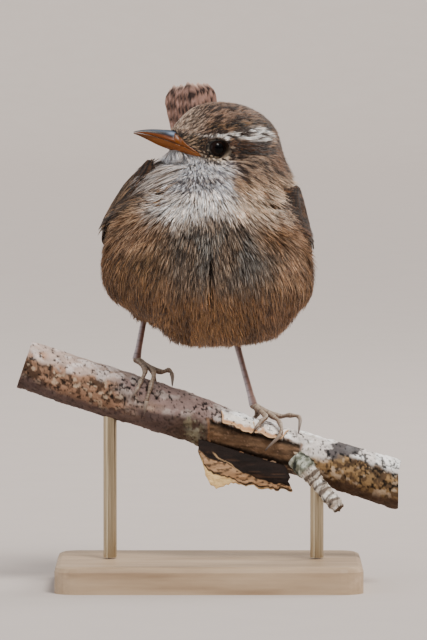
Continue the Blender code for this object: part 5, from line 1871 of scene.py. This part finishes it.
def bark_look(points, turn):
    """Colour of the perch at each place, and how deep the bark is worn there."""
    x = points[:, 0]
    coarse = rough_noise(points * (0.6, 1, 1), 5.0, 31)
    fine = rough_noise(points * (0.7, 1, 1), 1.2, 33)
    off = np.abs(turn)
    # A pinkish cream bark to the left, violet brown in the middle and white lichen to the right.
    left = smooth(-12.0, -21.0, x + 4.0 * coarse)[:, None]
    right = smooth(2.0, 6.0, x + 3.0 * coarse)[:, None]
    lichen = smooth(-0.05, 0.4, rough_noise(points, 2.4, 41))[:, None]
    patchy = smooth(-0.15, 0.3, rough_noise(points, 0.9, 45) + 0.3 * coarse)[:, None]
    middle = linear(140, 118, 112) * (1 - 0.6 * lichen) + linear(190, 176, 168) * 0.6 * lichen
    tan = smooth(0.05, 0.45, noise(points * (0.8, 1, 1), 3.4, 39))[:, None]
    cream = linear(184, 162, 150) * (1 - 0.7 * tan) + linear(166, 122, 90) * 0.7 * tan
    cream = cream * (1 - 0.7 * lichen) + linear(226, 214, 208) * 0.7 * lichen
    white = linear(214, 206, 200) * (1 - lichen) + linear(252, 250, 247) * lichen
    colour = middle * (1 - left) + cream * left
    colour = colour * (1 - right) + white * right
    colour = colour * (1 + 0.2 * fine[:, None])
    # Below the top the bark is rough and tan, and lower down painted shade darkens the underside.
    torn = off + 12.0 * coarse + 5.0 * fine
    ragged_x = x - 31.6 + 1.3 * fine + 1.6 * coarse + 0.03 * off
    scar = smooth(3.2, 2.7, np.abs(ragged_x))[:, None] * smooth(90.0, 84.0, torn)[:, None]
    colour = colour * (1 - 0.9 * scar) + linear(50, 43, 46) * (1 + 0.4 * fine[:, None]) * 0.9 * scar
    far_right = smooth(19.0, 22.0, x)[:, None]
    begin = 66.0 + 22.0 * smooth(31.0, 24.0, x) * (x > 0)
    rough = smooth(-6.0, 8.0, torn - begin)[:, None] * np.maximum(left, far_right)
    rusty = linear(146, 113, 90) * (1 - patchy) + linear(80, 59, 45) * patchy
    olive = linear(140, 112, 76) * (1 - patchy) + linear(84, 64, 44) * patchy
    rusty = rusty * (1 - far_right) + olive * far_right
    flecks = smooth(0.3, 0.45, noise(points * (0.7, 1, 1), 0.8, 46))[:, None]
    rusty = rusty * (1 - 0.5 * flecks) + linear(206, 184, 158) * 0.5 * flecks
    colour = colour * (1 - rough) + rusty * (1 + 0.3 * fine[:, None]) * rough
    # Painted shade over the lower half of the perch, in dark violet and brown tones with some moss in it.
    starts = 88.0 * (1 - np.maximum(left, far_right)) + 122.0 * np.maximum(left, far_right)
    painted_underside_shade = smooth(-10.0, 12.0, torn[:, None] - starts) * 0.93
    brown = smooth(-14.0, -4.0, x)[:, None]
    under = linear(84, 68, 65) * (1 - brown) + linear(66, 48, 37) * brown
    moss = bump_at(-4.0, 4.5, x)[:, None] * smooth(0.15, 0.4, noise(points, 0.9, 50))[:, None]
    under = under * (1 - 0.6 * moss) + linear(128, 120, 92) * 0.6 * moss
    colour = colour * (1 - painted_underside_shade) + under * (1 + 0.2 * fine[:, None]) * painted_underside_shade
    slant = noise(points * (0.9, 0.5, 0.5), 2.1, 35) + 0.25 * noise(points, 0.6, 36)
    crack = smooth(0.075, 0.015, np.abs(slant)) * smooth(-0.15, 0.35, coarse) * smooth(100.0, 70.0, off)
    specks = smooth(0.46, 0.58, noise(points, 0.55, 43) + 0.2 * coarse)[:, None]
    grit = smooth(0.55, 0.75, noise(points, 0.34, 44))[:, None] * (1 - 0.6 * right)
    colour = colour * (1 - 0.88 * specks * (1 - 0.6 * painted_underside_shade))
    colour = colour * (1 - 0.6 * grit)
    colour = colour * (1 - 0.85 * crack[:, None])
    bare = peeled(points)[:, None]
    grain = noise(points * (0.16, 1.5, 1.5), 0.8, 47)[:, None]
    dots = smooth(0.35, 0.6, noise(points * (0.8, 1.4, 1.4), 0.42, 48))[:, None]
    wood = linear(98, 75, 55) * (1 + 0.45 * grain + 0.25 * fine[:, None])
    wood = wood * (1 - 0.45 * dots) + linear(150, 118, 96) * 0.45 * dots
    # Painted shadow on the bare wood: under the torn lip above and toward the hanging strip below.
    tilted = turn + 0.9 * (x - 10.0)
    painted_wood_shadow = np.maximum(smooth(84.0, 72.0, tilted), smooth(118.0, 134.0, tilted))[:, None]
    wood = wood * (1 - 0.82 * painted_wood_shadow)
    rim = smooth(0.1, 0.3, bare) * smooth(0.65, 0.45, bare) * 0.75
    colour = colour * (1 - rim) + linear(120, 86, 58) * rim
    colour = colour * (1 - smooth(0.4, 0.7, bare)) + wood * smooth(0.4, 0.7, bare)
    # Grey-green crust at both ends of the bare wood.
    ends = bump_at(-2.6, 3.0, x + coarse) * smooth(60.0, 80.0, off) + bump_at(22.0, 2.8, x) * 0.8
    crust = np.clip(ends, 0, 1)[:, None] * smooth(0.0, 0.3, rough_noise(points, 0.9, 49))[:, None]
    colour = colour * (1 - 0.6 * crust) + linear(132, 128, 108) * 0.6 * crust
    worn = 0.3 * crack + 0.62 * smooth(0.3, 0.7, bare[:, 0]) - 0.2 * lichen[:, 0] * (1 - bare[:, 0])
    worn = worn - 0.25 * crust[:, 0] + 0.1 * specks[:, 0]
    return colour, worn - 0.11 * fine - 0.14 * coarse * (1 - bare[:, 0]) + 0.05 * grain[:, 0] * bare[:, 0]


def build_perch(material):
    rows, sides = ((450, 112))
    x = np.linspace(-41.0, 42.0, rows)[:, None]
    angle = np.linspace(0, 360, sides + 1)[:-1][None, :]
    surface = perch_place(x, angle, np.zeros((rows, sides)))
    flat = surface.reshape(-1, 3)
    turn = np.broadcast_to((angle + 180) % 360 - 180, (rows, sides)).reshape(-1)
    colour, worn = bark_look(flat, turn)
    centre_height, _, _ = perch_frame(flat[:, 0])
    centre = np.stack((flat[:, 0], 0 * flat[:, 0], centre_height), -1)
    flat = flat - unit(flat - centre) * (worn + 0.12)[:, None]
    rings = flat.reshape(rows, sides, 3)
    # Both cut ends: rings of paler wood under a rim of bark.
    caps, cap_tints = [], []
    steps = np.array((0.93, 0.86, 0.7, 0.52, 0.34, 0.17, 0.02))
    for end in (0, -1):
        middle = rings[end].mean(0)
        cap = middle + (rings[end][None] - middle) * steps[:, None, None]
        age = 0.5 + 0.5 * np.sin(steps * 34 + 0.8 * noise(cap, 1.5, 61).mean())
        wood = linear(176, 140, 104) * (0.7 + 0.3 * age)[:, None]
        tint = np.broadcast_to(wood[:, None], cap.shape) * (1 + 0.14 * noise(cap, 0.6, 62))[..., None]
        tint = tint.copy()
        tint[0] = linear(72, 48, 38)
        caps.append(cap)
        cap_tints.append(tint)
    rings = np.concatenate((caps[0][::-1], rings, caps[1]))
    tint = np.concatenate((cap_tints[0][::-1], colour.reshape(rows, sides, 3), cap_tints[1]))
    total = rings.shape[0]
    faces = grid_faces(total, sides)
    item = make_piece("perch_branch", rings.reshape(-1, 3), faces, material, tint.reshape(-1, 3), grid_corners(total, sides))
    close_ends(item)
    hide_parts("perch")


def sheet(top, thick, tint, under_tint, out):
    """A thin closed sheet: its painted side faces out, and the other lies thick below it."""
    across = np.gradient(top, axis=1)
    along = np.gradient(top, axis=0)
    normal = unit(np.cross(along, across))
    normal = normal * np.where(np.sum(normal * out) > 0, 1.0, -1.0)
    low = top - normal * thick
    ring = np.concatenate((top, low[:, ::-1]), 1)
    return ring, np.concatenate((tint, under_tint[:, ::-1]), 1)


def away_from_perch(points):
    height, _, _ = perch_frame(points[..., 0])
    centre = np.stack((points[..., 0], 0 * height, height), -1)
    return unit(points - centre)


def bark_sheet(top, tint, under_tint, thick):
    return sheet(top, thick, tint, under_tint, away_from_perch(top))


def build_flakes(material):
    """Papery curls of bark round the bare wood, and the torn lip of bark over it."""
    rng = np.random.default_rng(303)
    points, faces, tints, corners, start = [], [], [], [], 0
    sheets = []
    spots = []
    while len(spots) < 26:
        x, angle = rng.uniform(3.0, 23.5), rng.uniform(80.0, 160.0)
        here = perch_place(x, angle, 0.0)[None]
        if 0.04 < peeled(here)[0] < 0.8:
            spots.append((x, angle))
    for number, (x, angle) in enumerate(spots):
        size = rng.uniform(0.4, 1.6)
        wide = size * rng.uniform(0.2, 0.5)
        outward = math.atan2(math.radians(angle - 107.0) * 5.0, x - 10.3)
        heading = outward + math.pi + rng.normal(0.0, 0.6)
        rows, columns = 12, 9
        a = np.linspace(0, 1, rows)[:, None]
        b = np.linspace(-1, 1, columns)[None, :]
        blank = 0 * a + 0 * b
        edge = 1 + 0.3 * noise(np.stack((a * 5 + blank, blank + number, np.sign(b) + blank), -1), 1.0)
        torn = 1 + 0.22 * noise(np.stack((b * 3 + blank, blank + number * 3.1, blank), -1), 1.0)
        reach = a * size * torn
        side = b * wide * (0.55 + 0.45 * np.sin(math.pi * np.clip(a, 0.08, 0.85))) * edge
        curl = rng.uniform(0.0, 0.45)
        lift = 0.05 + curl * (reach / size) ** 2 * size * 0.4
        dx = reach * math.cos(heading) - side * math.sin(heading)
        dt = reach * math.sin(heading) + side * math.cos(heading)
        top = perch_place(x + dx, angle + np.degrees(dt / 5.0), lift)
        if x < 0.0:
            body = linear(128, 116, 100) * rng.uniform(0.6, 1.2)
        else:
            body = linear(186, 166, 142) * rng.uniform(0.35, 1.0)
        rim = np.maximum(smooth(0.6, 1.0, np.abs(b)) + blank, smooth(0.75, 1.0, a) + blank)[..., None]
        tint = body * (1 - 0.5 * rim) + linear(120, 78, 46) * 0.5 * rim
        tint = tint * (1 + 0.25 * noise(top, 0.5, 71))[..., None]
        under = np.broadcast_to(linear(110, 74, 46), tint.shape)
        sheets.append(bark_sheet(top, tint, under, 0.12))
    # The lip: two overlapping lobes of bark that stand off the wood below them.
    for first, last, low, high, swell in ((1.4, 10.0, 66.0, 74.0, 1.0), (8.6, 16.4, 72.0, 68.0, 0.8)):
        rows, columns = 90, 26
        a = np.linspace(0, 1, rows)[:, None]
        b = np.linspace(0, 1, columns)[None, :]
        x = first + (last - first) * a + 0 * b
        line = np.stack((x[:, 0], 0 * x[:, 0] + first, 0 * x[:, 0]), -1)
        reach = low + (high - low) * a[:, 0] + 7.0 * noise(line, 2.6, 72) + 2.6 * noise(line, 0.7, 73)
        reach = reach * (0.55 + 0.45 * np.minimum(smooth(0.0, 0.14, a[:, 0]), smooth(1.0, 0.86, a[:, 0])))
        root = 24.0 + 4.0 * noise(line, 3.0, 74)
        turn = root[:, None] + (reach - root)[:, None] * b - 0.9 * (x - 10.0)
        lift = -0.35 + 0.45 * smooth(0.0, 0.25, b) + swell * b**1.6 * (0.35 + 0.65 * np.sin(math.pi * a))
        top = perch_place(x, turn, lift + 0.1 * noise(np.stack((x, turn / 12, 0 * x), -1), 0.9, 75))
        pale = linear(242, 234, 224) * (1 + 0.2 * rough_noise(top, 1.1, 76))[..., None]
        rust = smooth(0.62, 0.85, b + 0.25 * noise(top, 1.0, 77))[..., None]
        tint = pale * (1 - 0.85 * rust) + linear(190, 130, 66) * 0.85 * rust
        tint = tint * (1 - 0.8 * smooth(0.42, 0.6, noise(top, 0.5, 78)))[..., None]
        edge = smooth(0.93, 0.99, b)[..., None] * 0.8
        tint = tint * (1 - edge) + linear(226, 196, 156) * edge
        under = np.broadcast_to(linear(104, 66, 40), tint.shape)
        sheets.append(bark_sheet(top, tint, under, 0.2))
    across = 9
    for number, (ring, both) in enumerate(sheets):
        points.append(ring.reshape(-1, 3))
        faces.append(grid_faces(*ring.shape[:2], offset=start))
        tints.append(both.reshape(-1, 3))
        cell = np.array((number % across, number // across)) / across
        corners.append(grid_corners(*ring.shape[:2]) * 0.97 / across + cell)
        start += ring.shape[0] * ring.shape[1]
    item = make_piece(
        "perch_flakes",
        np.concatenate(points),
        np.concatenate(faces),
        material,
        np.concatenate(tints),
        np.concatenate(corners),
    )
    close_ends(item)


FLAP_EDGE = np.array(
    (
        (-2.2, 25.6),
        (-1.2, 24.9),
        (-0.2, 23.3),
        (1.1, 22.4),
        (2.8, 23.0),
        (5.2, 23.7),
        (9.4, 22.3),
        (13.0, 22.0),
        (18.4, 21.4),
    )
)


def build_flap(material):
    """The strip of loose bark that hangs under the front of the perch."""
    rows, columns = 150, 44
    a = np.linspace(0, 1, rows)[:, None]
    b = np.linspace(0, 1, columns)[None, :]
    frayed = 0.7 * noise(np.stack((b * 6, 0 * b, 0 * b), -1), 1.0, 89)
    x = -1.3 + 19.4 * a + frayed * (1 - 2 * a) * np.abs(1 - 2 * a) ** 6
    line = np.stack((x[:, 0], 0 * x[:, 0], 0 * x[:, 0]), -1)
    start = perch_place(x, 132.0, 0.1)
    torn = 0.45 * noise(line, 1.6, 81) + 0.3 * noise(line, 0.55, 82)
    low = np.interp(x, FLAP_EDGE[:, 0], FLAP_EDGE[:, 1]) + torn[:, None]
    end = np.stack((x + 0.5, -4.9 + 0.6 * a + 0 * b, low), -1)
    bow = np.sin(math.pi * b**0.8)[..., None]
    top = start + (end - start) * b[..., None] + np.array((0.0, -1.15, -0.35)) * bow
    ripple = 0.22 * noise(top * (0.4, 1, 1), 1.6, 83) + 0.1 * noise(top * (0.5, 1, 1), 0.6, 84)
    top = top + np.array((0.0, -1.0, 0.0)) * (ripple * smooth(0.0, 0.2, b))[..., None]
    # Painted shadow of the branch: near-black over the upper strip, then a speckled tan band and a cream torn edge.
    place = b + 0.05 * noise(top * (0.3, 1, 1), 1.2, 85)
    grain = noise(top * (0.22, 1, 1.3), 0.7, 86)[..., None]
    dark = linear(27, 18, 14) * (1 + 0.5 * grain)
    fibre = smooth(0.25, 0.6, noise(top * (0.12, 1, 2.0), 0.6, 90))[..., None] * smooth(0.12, 0.3, b)[..., None]
    dark = dark * (1 - 0.3 * fibre) + linear(92, 64, 46) * 0.3 * fibre
    speckled = linear(172, 136, 102) * (1 + 0.4 * grain)
    specks = smooth(0.12, 0.4, noise(top * (0.6, 1, 1.2), 0.42, 87))[..., None]
    speckled = speckled * (1 - 0.75 * specks)
    above = 0.24 + 0.5 * smooth(-0.1, 0.9, a)
    band = smooth(-0.03, 0.03, place - above)[..., None]
    tint = dark * (1 - band) + speckled * band
    below = 0.62 + 0.3 * smooth(0.1, 0.45, a)
    seam = np.maximum(smooth(0.04, 0.012, np.abs(place - above)), smooth(0.045, 0.015, np.abs(place - below)))
    tint = tint * (1 - 0.85 * seam[..., None])
    cream = (smooth(0.01, 0.05, place - below) * (0.25 + 0.75 * smooth(0.36, 0.24, a)))[..., None]
    tint = tint * (1 - cream) + linear(238, 202, 140) * (1 + 0.15 * grain) * cream
    sliver = smooth(0.028, 0.01, np.abs(place - 0.2 - 1.25 * (a - 0.16)))
    ledge = (sliver * smooth(0.14, 0.18, a) * smooth(0.46, 0.42, a))[..., None]
    tint = tint * (1 - 0.75 * ledge) + linear(176, 144, 106) * 0.75 * ledge
    under = np.broadcast_to(linear(120, 88, 64), tint.shape) * (1 + 0.2 * noise(top, 0.8, 88))[..., None]
    ring, tints = sheet(top, 0.4, tint, under, np.array((0.0, -1.0, 0.0)))
    item = make_piece(
        "perch_loose_strip",
        ring.reshape(-1, 3),
        grid_faces(*ring.shape[:2]),
        material,
        tints.reshape(-1, 3),
        grid_corners(*ring.shape[:2]),
    )
    close_ends(item)
    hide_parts("perch_bark_flap")


def build_twig(material):
    count = 90
    share = np.linspace(-0.12, 1, count)
    line = TWIG_ROOT + (TWIG_TIP - TWIG_ROOT) * share[:, None]
    radius = 2.0 * np.interp(share, (-0.12, 0.05, 0.22, 0.4, 0.7, 0.9, 1.0), (1.25, 1.24, 1.05, 0.84, 0.8, 0.78, 0.62))

    def lumpy(place, angle, value):
        spots = np.stack((np.cos(angle) * 2 + 0 * place, np.sin(angle) * 2 + 0 * place, place * 12 + 0 * angle), -1)
        value = value + 0.16 * rough_noise(spots, 1.3, 91) - 0.12 * smooth(0.1, 0.0, np.abs(noise(spots, 0.9, 92)))
        return value + 0.09 * np.sin(place * 58 + 2.0 * noise(spots, 3.0, 98))

    rings = tube(line, radius, 48, lumpy)
    flat = rings.reshape(-1, 3)
    lichen = smooth(-0.1, 0.4, rough_noise(flat, 1.6, 93))[:, None]
    turns = np.broadcast_to(np.linspace(0, 1, count)[:, None], (count, 48)).reshape(-1)
    ringed = smooth(-0.1, 0.5, np.sin(turns * 58 + 2.4 * noise(flat, 1.8, 99)))[:, None]
    pale = linear(178, 166, 152) * (1 - lichen) + linear(232, 226, 216) * lichen
    tint = pale * (1 - 0.8 * ringed) + linear(74, 58, 48) * 0.8 * ringed
    knob = smooth(0.32, 0.22, turns)[:, None]
    grey_green = linear(112, 116, 102) * (1 - lichen) + linear(186, 190, 176) * lichen
    tint = tint * (1 - knob) + grey_green * knob
    tint = tint * (1 - 0.8 * smooth(0.14, 0.04, np.abs(noise(flat * (1, 1, 0.5), 0.9, 94)))[:, None])
    tint = tint * (1 + 0.2 * noise(flat, 0.5, 95)[:, None])
    jagged = rings[-1] + (rings[-1].mean(0) - rings[-1]) * 0.12
    inner = np.array([rings[-1].mean(0) + (rings[-1] - rings[-1].mean(0)) * k for k in (0.82, 0.5, 0.15)])
    inner = inner + unit(TWIG_TIP - TWIG_ROOT) * (0.5 * noise(inner, 0.6, 96))[..., None]
    rings = np.concatenate((rings, inner))
    wood = linear(92, 74, 56) * (1 + 0.3 * noise(inner, 0.4, 97))[..., None]
    tint = np.concatenate((tint, wood.reshape(-1, 3)))
    rows = rings.shape[0]
    item = make_piece("perch_side_twig", rings.reshape(-1, 3), grid_faces(rows, 48), material, tint, grid_corners(rows, 48))
    close_ends(item)
    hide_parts("perch_twig")


def dress(name, material):
    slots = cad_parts[name].material_slots
    for entry in slots:
        entry.material = material


# ---- studio ----


def build_stage():
    """A plain pale dish: a wide round floor that curves up into a low wall on every side."""
    flat, bend, height, around, turns = 3100.0, 1100.0, 1800.0, 160, 24
    profile = [(1.0, 0.0), (600.0, 0.0), (1600.0, 0.0), (flat, 0.0)]
    for k in range(1, turns + 1):
        turn = math.pi / 2 * k / turns
        profile.append((flat + bend * math.sin(turn), bend * (1 - math.cos(turn))))
    profile.append((flat + bend, height))
    radius, level = np.array(profile).T
    angle = np.linspace(0, 2 * math.pi, around + 1)[:-1]
    points = np.stack(
        (radius[:, None] * np.cos(angle), radius[:, None] * np.sin(angle), level[:, None] + 0 * angle), -1
    )
    faces = grid_faces(len(profile), around)[:, ::-1].tolist()
    faces.append(list(range(around)))
    mesh = bpy.data.meshes.new("floor")
    mesh.from_pydata((points.reshape(-1, 3) * MM).tolist(), [], faces)
    mesh.shade_smooth()
    s = Shader("floor", 0.9, Specular_IOR_Level=0.1)
    grain = s.noise(60.0, 2.0)
    colour = s.ramp(grain.outputs["Fac"], ((0.0, (0.52, 0.462, 0.425)), (1.0, (0.55, 0.49, 0.452))))
    mesh.materials.append(s.paint(colour))
    floor = bpy.data.objects.new("floor", mesh)
    bpy.context.scene.collection.objects.link(floor)
    world = bpy.data.worlds.new("studio")
    world.use_nodes = True
    back = world.node_tree.nodes["Background"]
    back.inputs["Color"].default_value = (0.66, 0.66, 0.68, 1.0)
    back.inputs["Strength"].default_value = 1.0
    bpy.context.scene.world = world


def add_light(name, place, target, size, power, colour):
    data = bpy.data.lights.new(name, "AREA")
    data.shape = "DISK"
    data.size = size
    data.energy = power
    data.color = colour
    lamp = bpy.data.objects.new(name, data)
    bpy.context.scene.collection.objects.link(lamp)
    lamp.location = place
    way = Vector(target) - Vector(place)
    lamp.rotation_euler = way.to_track_quat("-Z", "Y").to_euler()


def build_lights():
    target = (0.0, 0.0, 0.08)
    sun = bpy.data.lights.new("key", "SUN")
    sun.energy, sun.angle, sun.color = 3.3, math.radians(22.0), (1.0, 0.97, 0.93)
    key = bpy.data.objects.new("key", sun)
    key.rotation_euler = Vector((0.35, -0.55, 0.87)).to_track_quat("Z", "Y").to_euler()
    bpy.context.scene.collection.objects.link(key)
    add_light("rim", (0.65, 0.45, 0.5), target, 0.4, 5.0, (1.0, 0.93, 0.85))
    add_light("fill", (-0.9, -0.5, 0.35), target, 0.8, 3.0, (0.86, 0.93, 1.0))


def build_camera():
    """A long lens a little over the perch, framing the bird as the photograph does."""
    tall, distance, tilt = 0.1422, 1.5, math.radians(3.0)
    centre = Vector((1.0 * MM, 0.0, 59.2 * MM))
    data = bpy.data.cameras.new("camera")
    data.sensor_width = 36.0
    data.lens = 18.0 / (tall / 2 / distance)
    data.clip_start, data.clip_end = 0.05, 60.0
    camera = bpy.data.objects.new("camera", data)
    bpy.context.scene.collection.objects.link(camera)
    back = Vector((0.0, -math.cos(tilt), math.sin(tilt)))
    camera.location = centre + back * distance
    camera.rotation_euler = (-back).to_track_quat("-Z", "Y").to_euler()
    bpy.context.scene.camera = camera


def main():
    points, faces = build_skin()
    surface = Surface(points, faces)
    normals = surface.normals
    light, dark, share = markings(points)
    tint = (light * (1 - share[:, None]) + dark * share[:, None]) * 0.5
    rim_points, rim_faces, rim_tints = [points], [faces], [tint]
    start = len(points)
    for side in (1, -1):
        p, q, t = lid_band(side)
        rim_points.append(p)
        rim_faces.append((q if side > 0 else q[:, ::-1]) + start)
        rim_tints.append(t)
        start += len(p)
    all_points = np.concatenate(rim_points)
    all_faces = np.concatenate(rim_faces)
    middle = all_points[all_faces].mean(1)
    corner_normals = np.cross(
        all_points[all_faces[:, 2]] - all_points[all_faces[:, 0]],
        all_points[all_faces[:, 3]] - all_points[all_faces[:, 1]],
    )
    del middle
    each = all_points[all_faces].reshape(-1, 3)
    spots = chart_place(each, np.repeat(unit(corner_normals), 4, axis=0)).reshape(-1, 4, 2)
    skin = make_piece("skin", all_points, all_faces, skin_material(), np.concatenate(rim_tints), spots)
    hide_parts(*FLESH)
    print("skin faces", len(all_faces), "area charts ok", float(spots.min()), float(spots.max()))
    plumage = feather_material("feather")
    build_coat(surface, plumage)
    build_shoulders(plumage)
    build_vent(plumage)
    vanes = vane_material()
    for side in ("right", "left"):
        build_wing(side, vanes)
    build_tail(vanes)
    build_bill(surface, horn_material("bill_horn", 0.24, 0.32))
    build_eyes(eye_material())
    build_legs(leg_material(), horn_material("claw_horn", 0.35))
    bark = bark_material()
    build_perch(bark)
    build_flakes(bark)
    build_flap(bark)
    build_twig(bark)
    dress("stand_base", base_material())
    for name in ("stand_rod_left", "stand_rod_right"):
        dress(name, rod_material())
    build_stage()
    build_lights()
    build_camera()


main()
